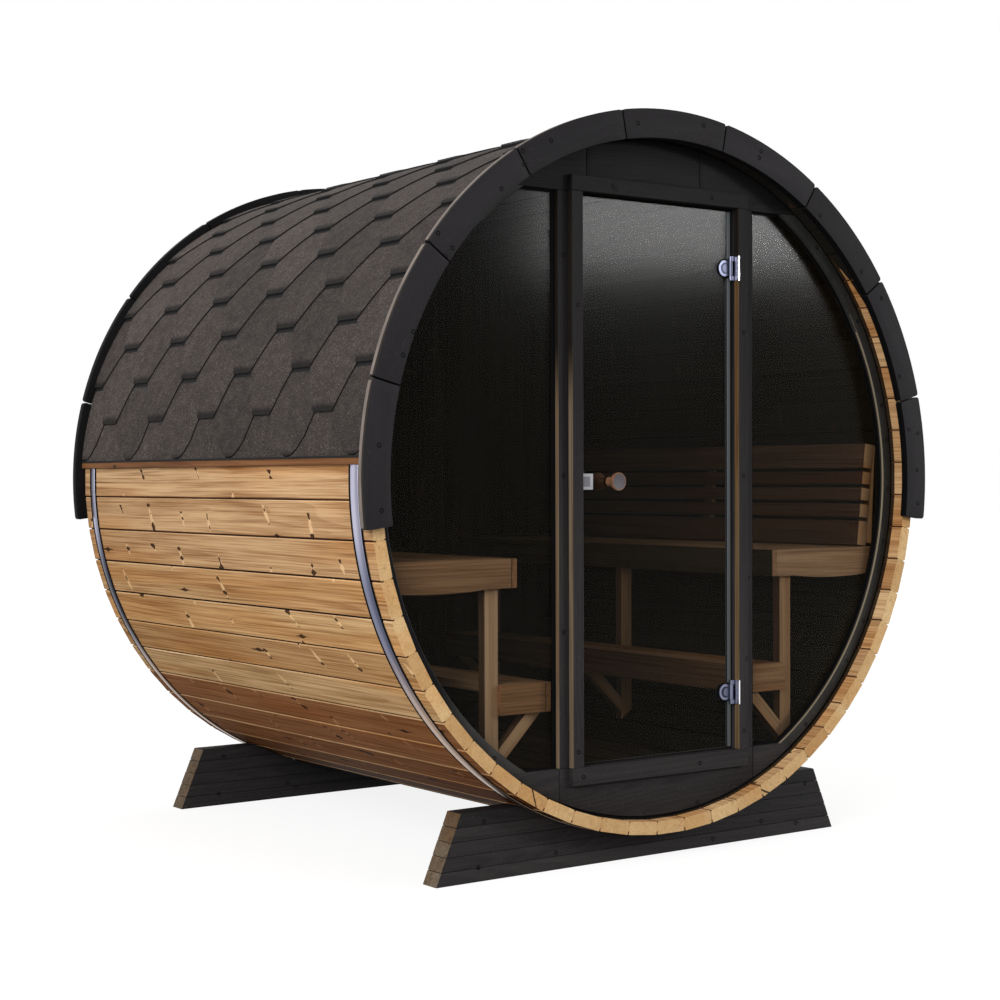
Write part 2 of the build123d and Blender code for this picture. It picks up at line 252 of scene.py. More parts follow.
def wood(name, pale, brown, knots=0.60, splits=0.30, contrast=1.0, warmth=(0.76, 0.66, 0.56),
         below=(), fading=None, sheen=0.15):
    """Planed softwood, its grain along local x. Knots lie in slanting rows across the board, as
    branches of one whorl do, with paler wood round them, and single knots have drawn the grain out
    into a dark lens. below is the tints of a face that looks down, painted light and shade, each with
    the two values of its normal's z between which it comes in. fading is the axis and the two places
    along it between which the wood turns dark, as painted shade."""
    s = new_material(name)
    wobble = s.noise(s.grain, scale=55.0) - 0.5

    along_off, across_off, chance, lean, size = s.board_cells(4.2, BOARD_CELLS, 0.9)
    off_row = (along_off - (lean * 0.9 - 0.05) * across_off + wobble * 0.016).abs()
    reach = size * 0.038 + 0.014
    row = chance.ramp(1 - knots, 1.004 - knots)
    inside = 1.0 - across_off.abs() / reach
    narrowing = inside.clamp() * 0.008 + 0.002 - off_row
    pale_row = row * inside.ramp(0.0, 0.3) * narrowing.ramp(-0.0015, 0.0030)
    eyes = s.noise(s.combine(across_off * 66.0 + chance * 90.0, size * 50.0), detail=0.0)
    knots_in_row = row * inside.ramp(0.0, 0.15) * ((eyes - 0.465) * 0.042 - off_row).ramp(-0.0007, 0.0007)

    along_off, across_off, chance, size, _ = s.board_cells(1.9, BOARD_CELLS, 0.8, 30.0)
    lone = chance.ramp(1 - splits, 1.004 - splits)
    across_off = across_off + wobble * 0.006
    tail = (1.0 - along_off.abs() / (size * 0.055 + 0.018)).clamp()
    lens = tail * tail * 0.0072 + 0.0004 - across_off.abs()
    lone_knot = lone * tail.ramp(0.0, 0.1) * lens.ramp(-0.0008, 0.0008)
    long_off = (along_off * along_off * 0.0028 + across_off * across_off).root()
    split = lone * long_off.fall(0.0010, 0.0040) * 0.6

    field = s.streaks(0.12, 5.0, 1.0) + pale_row * 0.01 + lone_knot * 0.02
    ring = (field * 46.0).growth()
    fibre = s.streaks(2.5, 210.0, 3.0, 0.65)
    streak = s.streaks(1.4, 55.0, 3.0, 0.6)
    cloud = s.streaks(2.0, 12.0)
    pitch = s.streaks(1.6, 75.0, 1.0).ramp(0.62, 0.74)
    patch = s.streaks(0.7, 6.0, 1.0).ramp(0.50, 0.66) * contrast

    amount = (ring * 0.26 + (fibre - 0.5) * 2.5 + (streak - 0.5) * 1.6 + (cloud - 0.5) * 0.8) * contrast
    colour = s.mix((amount + (0.38 - 0.10 * contrast)).clamp(), pale, brown)
    colour = s.tint(colour, s.mix(s.tone, warmth, (1.06, 1.08, 1.10)))
    colour = s.mix(patch, colour, s.tint(colour, (0.93, 0.80, 0.66)))
    colour = s.mix(pitch * 0.45 * contrast, colour, times(brown, 0.40))
    colour = s.mix(pale_row * 0.75, colour, times(pale, 1.25))
    dark = split * (fibre.ramp(0.38, 0.55) * 0.5 + 0.35) + lone_knot + knots_in_row
    colour = s.mix(dark.clamp() * 0.97, colour, KNOT)
    # painted light and shade on faces that look down
    for tint, (full, none) in below:
        facing = s.node("NewGeometry", output="Normal").parts()[Z]
        colour = s.mix(facing.fall(full, none), colour, s.tint(colour, tint))
    # painted shade: the wood turns dark along one axis
    if fading:
        axis, start, end = fading
        colour = s.shade(colour, s.place.parts()[axis].ramp(start, end, 1.0, 0.05))
    height = ring * 0.3 + fibre * 0.8 - split - lone_knot - knots_in_row * 0.6
    return s.surface(colour, fibre * 0.2 + 0.60, (height, 0.35, 0.0008), sheen)


def clear_wood(name, pale, brown, **settings):
    return wood(name, pale, brown, knots=0.0, splits=0.0, **settings)


def stained(name, colour, worn, relief=1.0, levels=None, gap=False):
    """Softwood under a dark stain: the grain stands out as relief, and knots as faint darker spots.
    levels are two heights and how light the stain is made at each: painted light and shade by
    height. gap paints the wall's ring black on the left, save for a thin strip along its inner edge:
    painted shadow of the barrel's rim."""
    s = new_material(name)
    along_off, across_off, chance, size, _ = s.board_cells(3.0, 8.0, 1.0)
    round_off = (along_off * along_off * 0.6 + across_off * across_off).root()
    knot = chance.ramp(0.60, 0.604) * (round_off - size * 0.006).fall(0.003, 0.006)
    ring = ((s.streaks(0.4, 5.0, 1.0) + knot * 0.03) * 40.0).growth()
    fibre = s.streaks(5.0, 220.0, 3.0, 0.65)
    broad = s.streaks(1.5, 14.0, 3.0)
    pores = s.noise(s.grain.scaled((90.0, 170.0, 170.0)), detail=1.0).ramp(0.64, 0.74)
    amount = (fibre - 0.5) * relief + (broad - 0.5) * 1.2 - ring * 0.2 * relief + 0.40
    mixed = s.shade(s.mix(amount.clamp(), colour, worn), s.tone * 0.35 + 0.82)
    mixed = s.mix(knot * 0.6, mixed, times(colour, 0.3))
    mixed = s.mix(pores * 0.4, mixed, times(worn, 1.5))
    x, _, z = s.place.parts()
    # painted light and shade by height
    if levels:
        mixed = s.shade(mixed, z.ramp(*levels))
    # painted shadow of the barrel's rim on the left of the ring
    if gap:
        radius = (x * x + (z - AXIS_Z) * (z - AXIS_Z)).root()
        black = radius.ramp(RING_INNER + 0.001, RING_INNER + 0.003) * x.fall(-0.82, -0.66)
        mixed = s.mix(black, mixed, (0.0015, 0.0015, 0.0025))
    height = fibre * 0.8 - ring * 0.6 - knot * 0.6
    return s.surface(mixed, fibre * 0.25 + 0.50, (height, 0.45 * relief, 0.0010), 0.08)


def rim_material():
    """The fascia's outer side: the stain of its face ends a little way round the edge. The y of its
    grain is that of the frame."""
    s = new_material("charcoal_rim")
    fibre = s.streaks(5.0, 300.0, 3.0, 0.65)
    worn = s.streaks(7.0, 60.0, 3.0)
    depth = s.grain.parts()[Y] + (worn - 0.5) * 0.006
    bare = depth.ramp(FASCIA_FRONT + 0.0085, FASCIA_FRONT + 0.0125)
    pale = s.mix(fibre, (0.130, 0.105, 0.088), (0.330, 0.280, 0.250))
    colour = s.mix(bare, (0.022, 0.018, 0.016), s.shade(pale, worn * 0.8 + 0.5))
    return s.surface(colour, 0.75, (fibre, 0.4, 0.0008), 0.15)


def ring_side():
    """The inner side of the wall's ring: bare wood along its front edge, and dark stain further in."""
    s = new_material("ring_side")
    fibre = s.streaks(5.0, 300.0, 3.0, 0.65)
    bare = s.place.parts()[Y].fall(WALL_FRONT + 0.0065, WALL_FRONT + 0.0085)
    pale = s.mix(fibre, (0.190, 0.155, 0.105), (0.310, 0.255, 0.175))
    return s.surface(s.mix(bare, (0.016, 0.014, 0.012), pale), 0.75, (fibre, 0.4, 0.0008), 0.15)


def shingle_material():
    """Mineral granules on bitumen, each tab its own shade. The height above a tab's lower edge is the
    z of its grain: darker granules lie along that edge."""
    s = new_material("shingle")
    away, (grit, warm, _) = s.cells(s.grain.scaled((360.0, 360.0, 360.0)), dimensions="3D")
    mottle = s.noise(s.grain, scale=22.0, detail=5.0, roughness=0.7)
    cloud = s.noise(s.grain, scale=2.5)
    colour = s.mix(grit, (0.026, 0.0205, 0.019), (0.083, 0.068, 0.0615))
    colour = s.mix(warm.ramp(0.90, 0.93), colour, (0.125, 0.110, 0.102))
    shade = (mottle - 0.5) * 1.1 + (cloud - 0.5) * 0.5 + s.tone * 0.28 + 0.72
    # lighter towards the back and darker by the front fascia: painted light and shade
    shade = shade * s.place.parts()[Y].ramp(-0.5, 0.8, 1.0, 1.36)
    edge = s.grain.parts()[Z] + (mottle - 0.5) * 0.006
    return s.surface(s.shade(colour, shade * edge.ramp(0.008, 0.030, 0.20, 1.0)), 0.95,
                     (grit, 0.5, 0.0008), 0.2)


def bitumen_material():
    s = new_material("bitumen_edge")
    lumps = s.noise(s.grain, scale=180.0, detail=3.0)
    return s.surface(s.mix(lumps, (0.005, 0.005, 0.005), (0.014, 0.013, 0.013)), 0.8,
                     (lumps, 0.4, 0.001), 0.2)


def metal(name, colour, roughness, varied):
    """Metal with smears in a darker shade of its colour."""
    s = new_material(name)
    smears = s.noise(s.place, scale=5.0, detail=3.0)
    return s.surface(s.mix(smears.ramp(0.35, 0.65), colour, times(colour, 1 - varied)),
                     smears * 0.12 + (roughness - 0.06), Metallic=1.0)


def leaf_metal():
    """Chrome with a painted reflection: the pale sky along the front of the leaf, and the dark porch further
    in.
    """
    s = new_material("leaf_chrome")
    smears = s.noise(s.place, scale=60.0)
    bright = s.place.parts()[Y].fall(LEAF_FRONT + 0.0140, LEAF_FRONT + 0.0150)
    return s.surface(s.mix(bright, (0.150, 0.160, 0.225), (0.800, 0.800, 0.820)),
                     smears * 0.10 + 0.22, Metallic=1.0)


def band_steel():
    """Brushed steel with painted reflections: the ground's brown lower down, blue above it and pale
    lavender near the top, with a dark band painted between the blue and the lavender, deeper on the
    rear band, and painted shade along each band's edge nearer the door. The grain is (length round
    the barrel from the right, place across the band, radius), so the colour follows the place."""
    s = new_material("band_steel")
    length, width, _ = s.grain.parts()
    turn = (length / BAND_RADIUS - 1.5 * math.pi).abs()
    smears = s.noise(s.grain, scale=6.0, detail=3.0)
    scratches = s.streaks(3.0, 900.0)
    # painted reflections of the ground below and the sky above
    lower = (turn + (smears - 0.5) * 0.3).ramp(0.85, 1.15)
    colour = s.mix(lower, (0.460, 0.325, 0.245), (0.240, 0.260, 0.400))
    colour = s.mix(turn.ramp(1.25, 1.48), colour, (0.500, 0.490, 0.620))
    # a painted dark band, deeper on the rear band
    shadow = (turn - 1.18).abs().fall(0.05, 0.28) * (0.80 - s.tone * 0.42)
    light = (1.0 - shadow) * width.ramp(0.006, 0.024, 0.60, 1.0) * ((scratches - 0.5) * 0.9 + 1.0)
    return s.surface(s.shade(colour, light), smears * 0.1 + 0.28, (scratches, 0.3, 0.0002), Metallic=1.0)


def glass_material():
    """Tinted glass that light also passes through, so that the room behind it is lit."""
    s = new_material("tinted_glass")
    smears = s.noise(s.place, scale=3.0, detail=3.0)
    return s.surface((0.0045, 0.0038, 0.0022), smears * 0.06 + 0.10, sheen=0.10, Alpha=0.30)


def plain(name, colour, roughness, grit=0.0, sheen=0.35):
    """One colour with a fine speckle and an uneven sheen."""
    s = new_material(name)
    speck = s.noise(s.place, scale=300.0, detail=3.0)
    return s.surface(s.mix(speck, times(colour, 0.75), times(colour, 1.25)),
                     speck * 0.2 + (roughness - 0.1), (speck, grit, 0.0006), sheen)


BOARD_CELLS = 8.5               # cells of the wood's knots per metre across
# Painted light and shade by the way a face looks: wood that looks part way down is made lighter, and wood
# that looks at the ground nearly black.
UNDERSIDE_PAINTED_LIGHT_AND_SHADE = [((1.18, 1.20, 1.12), (-0.42, -0.15)), ((0.580, 0.420, 0.380), (-0.68, -0.61)),
               ((0.02, 0.01, 0.01), (-0.96, -0.76))]
STAVE_WOOD = wood("stave_wood", (0.730, 0.475, 0.258), (0.335, 0.165, 0.068), 0.76, 0.36,
                  sheen=0.03, below=UNDERSIDE_PAINTED_LIGHT_AND_SHADE)
# a lighter copy of the staves' wood for the eased edge that looks up: painted highlight
EDGE_HIGHLIGHT_WOOD = wood("edge_painted_highlight", (0.880, 0.600, 0.350), (0.500, 0.280, 0.130), 0.3, 0.1,
                 sheen=0.03, below=UNDERSIDE_PAINTED_LIGHT_AND_SHADE)
# nearly black in its last centimetre before the wall: painted shade in the corner
LINING_WOOD = wood("lining_wood", (0.780, 0.500, 0.255), (0.380, 0.190, 0.076), 0.3, 0.0,
                   fading=(Y, WALL_FRONT - 0.0105, WALL_FRONT - 0.0090))
JOINT_WOOD = clear_wood("joint_wood", (0.190, 0.085, 0.038), (0.095, 0.040, 0.018))
END_WOOD = wood("end_wood", (0.800, 0.560, 0.290), (0.570, 0.345, 0.145), 0.0, 0.1, contrast=0.6)
BATTEN_WOOD = wood("batten_wood", (0.270, 0.125, 0.052), (0.130, 0.050, 0.020), 0.5)
BENCH_WOOD = clear_wood("bench_wood", (0.800, 0.490, 0.262), (0.440, 0.240, 0.112))
# a much lighter copy of the bench wood for the faces of the benches' frames: painted light
POST_PAINTED_LIGHT_WOOD = clear_wood("post_painted_light_wood", (1.000, 0.680, 0.400), (0.760, 0.470, 0.250))
# darker copies of the bench wood for faces that look left or right: painted shade
BENCH_SIDE_SHADE = clear_wood("bench_side_painted_shade", (0.240, 0.140, 0.078), (0.130, 0.068, 0.034))
UPPER_SEAT_SIDE_SHADE = clear_wood("upper_seat_painted_shade", (0.085, 0.060, 0.031), (0.048, 0.031, 0.015))
# the backrest: dark boards, painted shade, and bright ends, painted light
BACKREST_SHADE_WOOD = wood("backrest_painted_shade", (0.160, 0.084, 0.042), (0.078, 0.038, 0.018), 0.1)
BACKREST_END_LIGHT = clear_wood("backrest_end_painted_light", (1.000, 0.620, 0.310), (1.000, 0.540, 0.240),
                          warmth=(1.0, 1.0, 1.0))
# the room's floor made nearly black: painted shade
FLOOR_SHADE_WOOD = wood("floor_wood", (0.072, 0.048, 0.026), (0.040, 0.025, 0.013), 0.2)
# the bare sides of the right jamb and post turn dark at the top: painted shade under the head
BARE_WOOD = wood("bare_wood", (0.165, 0.110, 0.056), (0.088, 0.053, 0.024), 0.15,
                 fading=(Z, 1.70, 1.79))
# those on the left turn dark from lower down: painted shade
LEFT_BARE_WOOD = wood("left_bare_wood", (0.185, 0.135, 0.088), (0.100, 0.068, 0.040), 0.15,
                      fading=(Z, 1.28, 1.50))
RING_WOOD = ring_side()
# the room's bare wood made nearly black: painted shade
ROOM_SHADE_WOOD = wood("room_painted_shade", (0.026, 0.020, 0.010), (0.013, 0.009, 0.004), 0.3)
# nearly black wood: painted shadow on the inside of the upper staves near their front ends, and the staves'
# joints in the room
SHADE_WOOD = wood("shade_wood", (0.012, 0.010, 0.007), (0.006, 0.005, 0.004), 0.1)
# lighter low down and darker high up: painted light near the ground, painted shade under the fascia
CHARCOAL = stained("charcoal_wood", (0.0115, 0.0106, 0.0113), (0.0300, 0.0268, 0.0262),
                   levels=(0.35, 2.00, 1.33, 0.50))
# its left part is painted black, the shadow of the barrel's rim
RING_STAIN = stained("charcoal_ring", (0.0250, 0.0245, 0.0235), (0.0550, 0.0540, 0.0510), 0.6,
                     gap=True)
FASCIA_STAIN = stained("charcoal_fascia", (0.0138, 0.0126, 0.0144), (0.0248, 0.0228, 0.0244), 0.35)
# a much darker copy of the fascia's stain for the rear fascia: painted shade
REAR_SHADE_STAIN = stained("charcoal_rear_painted_shade", (0.0030, 0.0028, 0.0032), (0.0070, 0.0065, 0.0070), 0.5)
RIM_WOOD = rim_material()
CRADLE_END = clear_wood("cradle_end", (0.175, 0.133, 0.092), (0.085, 0.060, 0.039))
SHINGLE = shingle_material()
BITUMEN = bitumen_material()
STEEL = band_steel()
LEAF_CHROME = leaf_metal()
# chrome darkened to a lavender grey: a painted reflection
CLAMP_CHROME = metal("clamp_chrome", (0.185, 0.200, 0.280), 0.40, 0.40)
# a clamp's recess: a paler disc set off to the right, painted light, on a dark disc, painted shade
CLAMP_PAINTED_LIGHT = metal("clamp_painted_light", (0.110, 0.118, 0.170), 0.42, 0.30)
CLAMP_RECESS_SHADE = metal("clamp_painted_shade", (0.030, 0.034, 0.052), 0.30, 0.60)
SCREW = plain("screw_black", (0.0040, 0.0040, 0.0040), 0.80, sheen=0.05)
GASKET = plain("gasket_black", (0.0035, 0.0035, 0.0040), 0.80, 0.1, 0.05)
SEAL = plain("seal_grey", (0.125, 0.138, 0.148), 0.40)
CATCH = plain("catch_grey", (0.420, 0.420, 0.450), 0.35, 0.05)
CATCH_INSET = plain("catch_inset", (0.160, 0.160, 0.180), 0.40, 0.05)
KNOB_FACE = plain("knob_face", (0.060, 0.052, 0.062), 0.5, 0.2)
KNOB_WOOD = clear_wood("knob_wood", (0.300, 0.190, 0.130), (0.190, 0.105, 0.065))
GLASS = glass_material()
GLASS_EDGE = plain("glass_edge", (0.200, 0.230, 0.240), 0.20)


# ---- meshes -------------------------------------------------------------------------------------
def scatter(*used):
    """A random offset along the axes that are used."""
    return [rng.uniform(-40, 40) if use else 0.0 for use in used]


class Piece:
    """Gathers boards and other forms into one mesh, with their grain, tone and material."""

    def __init__(self, name, *materials):
        self.name = name
        self.materials = materials
        self.points = []
        self.grain = []
        self.faces = []
        self.tones = []
        self.slots = []

    def add(self, form, place=None, tone=None, slot=0, grain_offset=None, grain=None):
        """form is (points, faces) in its own frame, and place is that frame's origin and axes. slot is
        a number, a list with one for each face, or a function of the placed face's normal. grain
        defaults to the points themselves, at a random offset."""
        points, faces = form
        local = np.array(points, float)
        placed = local @ np.array(place[1:]) + np.array(place[0]) if place else local
        offset = np.array(grain_offset if grain_offset is not None else scatter(1, 1, 1))
        start = len(self.points)
        self.points += placed.tolist()
        self.grain += ((local if grain is None else np.array(grain)) + offset).tolist()
        shade = rng.random() if tone is None else tone
        for index, face in enumerate(faces):
            self.faces.append([start + i for i in face])
            self.tones.append(shade)
            if callable(slot):
                a, b, c = (placed[i] for i in (face[0], face[1], face[-1]))
                normal = np.cross(b - a, c - a)
                self.slots.append(int(slot(normal / (np.linalg.norm(normal) or 1.0))))
            else:
                self.slots.append(slot[index] if isinstance(slot, list) else slot)

    def add_box(self, side, xs, ys, zs, axis, bevel=0.0015, slot=0):
        """A board in a box, its z about the axis, mirrored in x where side is -1."""
        xs = sorted(side * x for x in xs)
        corners = ((xs[k], ys[k], AXIS_Z + zs[k]) for k in (0, 1))
        self.add(*box_board(*corners, axis, bevel), slot=slot)

    def add_sheet(self, rows, flip, rim=0, tone=None, grain_offset=None):
        """A closed sheet. rows hold the (point, step to the underside, grain) of each spot on its face.
        Its underside and edges have the material slot rim."""
        spots = [spot for row in rows for spot in row]
        width = len(rows[0])
        count = len(spots)
        corners = [j * width + i for j in range(len(rows) - 1) for i in range(width - 1)]
        top = [[a, a + 1, a + width + 1, a + width][::-1 if flip else 1] for a in corners]
        edges = {edge for face in top for edge in zip(face, face[1:] + face[:1])}
        walls = [[b, a, a + count, b + count] for a, b in sorted(edges) if (b, a) not in edges]
        under = [[i + count for i in face][::-1] for face in top]
        points = [point for point, _, _ in spots] + [point + step for point, step, _ in spots]
        slots = [0] * len(top) + [rim] * len(under + walls)
        self.add((points, top + under + walls), None, tone, slots, grain_offset,
                 [place for _, _, place in spots] * 2)

    def finish(self, material_slot, replaces=None, smooth=None, body="cabin"):
        mesh = bpy.data.meshes.new(self.name)
        mesh.from_pydata(self.points, [], self.faces)
        for material in self.materials:
            mesh.materials.append(material)
        mesh.polygons.foreach_set("material_index", self.slots)
        grain = mesh.attributes.new("grain", "FLOAT_VECTOR", "POINT")
        grain.data.foreach_set("vector", np.array(self.grain, np.float32).ravel())
        tone = mesh.attributes.new("tone", "FLOAT", "FACE")
        tone.data.foreach_set("value", np.array(self.tones, np.float32))
        mesh.validate(clean_customdata=False)
        if smooth is not None:
            mesh.shade_smooth()
            mesh.set_sharp_from_angle(angle=math.radians(smooth))
        mesh.update()
        made = bpy.data.objects.new(self.name, mesh)
        bpy.context.scene.collection.objects.link(made)
        if replaces:
            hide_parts(replaces)
        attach(made, body)


def loft(rows, flip=False, caps=(True, True), wrap=False):
    """A form through rows of points, each a closed loop. Its ends are capped, or with wrap they meet."""
    count = len(rows[0])
    last = (len(rows) - 1) * count
    faces = []
    if caps[0] and not wrap:
        faces.append(list(range(count))[::-1])
    if caps[1] and not wrap:
        faces.append(list(range(last, last + count)))
    for row in range(len(rows) if wrap else len(rows) - 1):
        a, b = row * count, (row + 1) % len(rows) * count
        faces += [[a + i, a + (i + 1) % count, b + (i + 1) % count, b + i] for i in range(count)]
    if flip:
        faces = [face[::-1] for face in faces]
    return [point for row in rows for point in row], faces


def bevelled(form, width, segments=1, angle=28.0):
    bm = bmesh.new()
    verts = [bm.verts.new(p) for p in form[0]]
    for face in form[1]:
        bm.faces.new([verts[i] for i in face])
    bm.normal_update()
    edges = [e for e in bm.edges if e.is_manifold and e.calc_face_angle(0) > math.radians(angle)]
    bmesh.ops.bevel(bm, geom=edges, offset=width, segments=segments, profile=0.5, affect="EDGES",
                    clamp_overlap=True)
    bm.verts.index_update()
    made = [v.co[:] for v in bm.verts], [[v.index for v in f.verts] for f in bm.faces]
    bm.free()
    return made


def box_board(low_corner, high_corner, grain_axis, bevel=0.0015):
    """A board that fills a box, with its grain along the given axis, and its place."""
    across, over = (grain_axis + 1) % 3, (grain_axis + 2) % 3
    size = np.subtract(high_corner, low_corner)
    start = np.add(high_corner, low_corner) / 2
    start[grain_axis] = low_corner[grain_axis]
    y, z = size[across] / 2, size[over] / 2
    outline = ((-y, -z), (y, -z), (y, z), (-y, z))
    form = loft([[(x, *corner) for corner in outline] for x in (0.0, size[grain_axis])])
    axes = np.eye(3)
    return bevelled(form, bevel), (start, axes[grain_axis], axes[across], axes[over])


def wall_prism(outline, y_low, y_high, bevel=0.0, direction=0.0):
    """An (x, z) outline about the axis made solid between two values of y, and its place. Its grain is
    turned by direction in the wall's plane, or lies along y where direction is None."""
    if direction is None:
        local = outline
        rows = [[(y, x, z) for x, z in local] for y in (y_low, y_high)]
        place = ((0, 0, AXIS_Z), (0, 1, 0), (1, 0, 0), (0, 0, 1))
    else:
        c, s = math.cos(direction), math.sin(direction)
        local = [(x * c + z * s, -x * s + z * c) for x, z in outline]
        rows = [[(x, y, z) for x, z in local] for y in (y_low, y_high)]
        place = ((0, 0, AXIS_Z), (c, 0, s), (0, 1, 0), (-s, 0, c))
    area = sum(a[0] * b[1] - b[0] * a[1] for a, b in zip(local, local[1:] + local[:1]))
    form = loft(rows, flip=(area >= 0) == (direction is not None))
    return (bevelled(form, bevel, 2, 40.0) if bevel else form), place


def arc(radius, start, end, steps):
    """Points of an arc about the axis, from one angle to another."""
    angles = [start + (end - start) * k / steps for k in range(steps + 1)]
    return [(radius * math.cos(a), radius * math.sin(a)) for a in angles]


def rising_arc(radius, z_start, z_end):
    """Points of an arc on the right, from one height about the axis to another."""
    return arc(radius, math.asin(z_start / radius), math.asin(z_end / radius), 60)


def circle(radius, steps):
    return arc(radius, 0.0, 2 * math.pi, steps)[:-1]


def mirrored(side, outline):
    return [(side * x, z) for x, z in outline]


def room_reach(z):
    return math.sqrt(ROOM_RADIUS ** 2 - z * z)


# ---- staves -------------------------------------------------------------------------------------
JOINT_GAP = 0.0003              # the staves touch below the grooves
GROOVE = 0.0018                 # half width of the groove along each outer joint
GROOVE_DEPTH = 0.010
LIP = 0.0046                    # half width at the face, where the edges are eased
LIP_DEPTH = 0.0030
INNER_GROOVE = 0.0025
INNER_DEPTH = 0.004
STEP = 0.0002                   # keeps the corners of a groove apart


def stave_section():
    """One stave in section, as (across, out from the axis) points: its right side, then its left."""
    thick = STAVE_FLAT - STAVE_INNER
    floor = thick - INNER_DEPTH
    right = [((STAVE_FLAT - depth) * math.tan(HALF_STAVE) - JOINT_GAP / 2 - inset, -depth)
             for depth, inset in ((thick, INNER_GROOVE), (floor, INNER_GROOVE / 2), (floor - STEP, 0.0),
                                  (GROOVE_DEPTH, 0.0), (GROOVE_DEPTH - STEP, GROOVE),
                                  (LIP_DEPTH, GROOVE), (0.0, LIP))]
    return right + mirrored(-1, right[::-1])


def stained_depth(angle):
    """How far in from its end a stave's inside is painted near black, as the shadow of the fascia and
    the staves above, at an angle about the axis: more with every degree that it lies up the side, and
    much more above 35 degrees."""
    degrees = math.degrees(math.asin(math.sin(angle)))
    return max(0.0, degrees) * 0.0003 + max(0.0, degrees - 35.0) * 0.0038


def stave_form(section, start, inside, end, angle):
    """A stave from start to end, the part beyond inside lying in the room, with the angle of its middle
    about the axis. The slots are those of make_staves."""
    # the painted shadow on the inside ends here
    def stain_end(across):
        depth = stained_depth(angle - math.copysign(HALF_STAVE, across))
        return start + min(max(depth, 0.0004), inside - start - 0.0004)

    form = loft([[(start, y, z) for y, z in section], [(stain_end(y), y, z) for y, z in section],
                 [(inside, y, z) for y, z in section], [(end, y, z) for y, z in section]])
    count = len(section)
    outer = count // 2 - 1
    # far up the side, the joints of the lining take the painted shadow too
    dark = stained_depth(angle) > 0.020
    slots = [2, 2]
    for inner_slot, part_slot in ((4, 4 if dark else 1), (5, 4 if dark else 1), (3, 4)):
        part = [part_slot] * (count - 1) + [inner_slot]
        part[outer - 1:outer + 2] = [0, 0, 0]
        # the eased edge that looks up takes the lighter wood, a painted highlight
        part[outer - 1 if math.cos(angle) < 0 else outer + 1] = 6
        slots += part
    return form, slots


def make_staves():
    section = stave_section()
    shades = random.Random(83459)
    for node in range(STAVE_NODES):
        name = f"staves_{node + 1:02d}"
        piece = Piece(name + "_boards", STAVE_WOOD, JOINT_WOOD, END_WOOD, ROOM_SHADE_WOOD, SHADE_WOOD,
                      LINING_WOOD, EDGE_HIGHLIGHT_WOOD)
        for index in range(STAVES_PER_NODE):
            angle = 2 * HALF_STAVE * (node * STAVES_PER_NODE + index + 1)
            outward = np.array((math.cos(angle), 0.0, math.sin(angle)))
            across = np.array((math.sin(angle), 0.0, -math.cos(angle)))
            origin = (0, 0, AXIS_Z) + outward * (STAVE_FLAT - rng.uniform(0, 0.0006))
            start = FRONT + rng.uniform(0.0, 0.0015)
            end = REAR - rng.uniform(0.0, 0.0015)
            form, slots = stave_form(section, start, WALL_FRONT + 0.004, end, angle)
            # the middle of a board lies in the middle of a row of knot cells
            offset = (rng.uniform(-40, 40), (rng.randrange(-200, 200) + 0.5) / BOARD_CELLS, 0.0)
            piece.add(form, (origin, (0, 1, 0), across, outward), shades.random(), slots, offset)
        piece.finish("stave_wood", name)


# ---- roof ---------------------------------------------------------------------------------------
EAVE_TURN = math.pi / 2 - math.asin((low("roof_right", Z) - AXIS_Z) / ROOF_RADIUS)   # from the top
COURSE = math.radians(7.2)
FIRST_COURSE = math.radians(87.0)                                 # its tabs end just below the eave
COURSES = 12
COURSE_HEIGHT = COURSE * ROOF_RADIUS
COURSE_ROWS = [0.0, 0.12, 0.25, 0.5, 0.75, 1.0, 1.33, 1.66, 2.05]
TAB_PERIOD = 0.341
TAB_SHIFT = 0.071               # from the front edge to the middle of the first tab
TAB_END = 0.050                 # half the width of a tab's lower edge
TAB_FLARE = 0.071               # how much wider each side is one course up
TAB_THICK = 0.0044
COURSE_RISE = 0.0084            # fall of a shingle's face over the height that shows
ROOF_SKIN = ROOF_RADIUS - 0.0004
RIDGE_CAP = 0.30                # length of a ridge cap
RIDGE_CAP_HALF = 0.115
RIDGE_NOSE = 0.06               # length of its front, which grows wider
RIDGE_NOSE_HALF = RIDGE_CAP_HALF - 0.035
RIDGE_EXPOSURE = 0.17
RIDGE_STEPS = 4
UNDERLAY_STEPS = 36
NO_EDGE = 0.1                   # the grain's z where no tab's lower edge is near
# height of the black strip along each batten's top: painted shadow under the eave
EAVE_SHADOW_HEIGHT = 0.006


def roof_spot(side, turn, y, radius, thickness, grain):
    """A spot of a sheet on the roof, at an angle from the top."""
    out = Vector((side * math.sin(turn), 0, math.cos(turn)))
    return Vector((0, y, AXIS_Z)) + out * radius, -out * thickness, grain


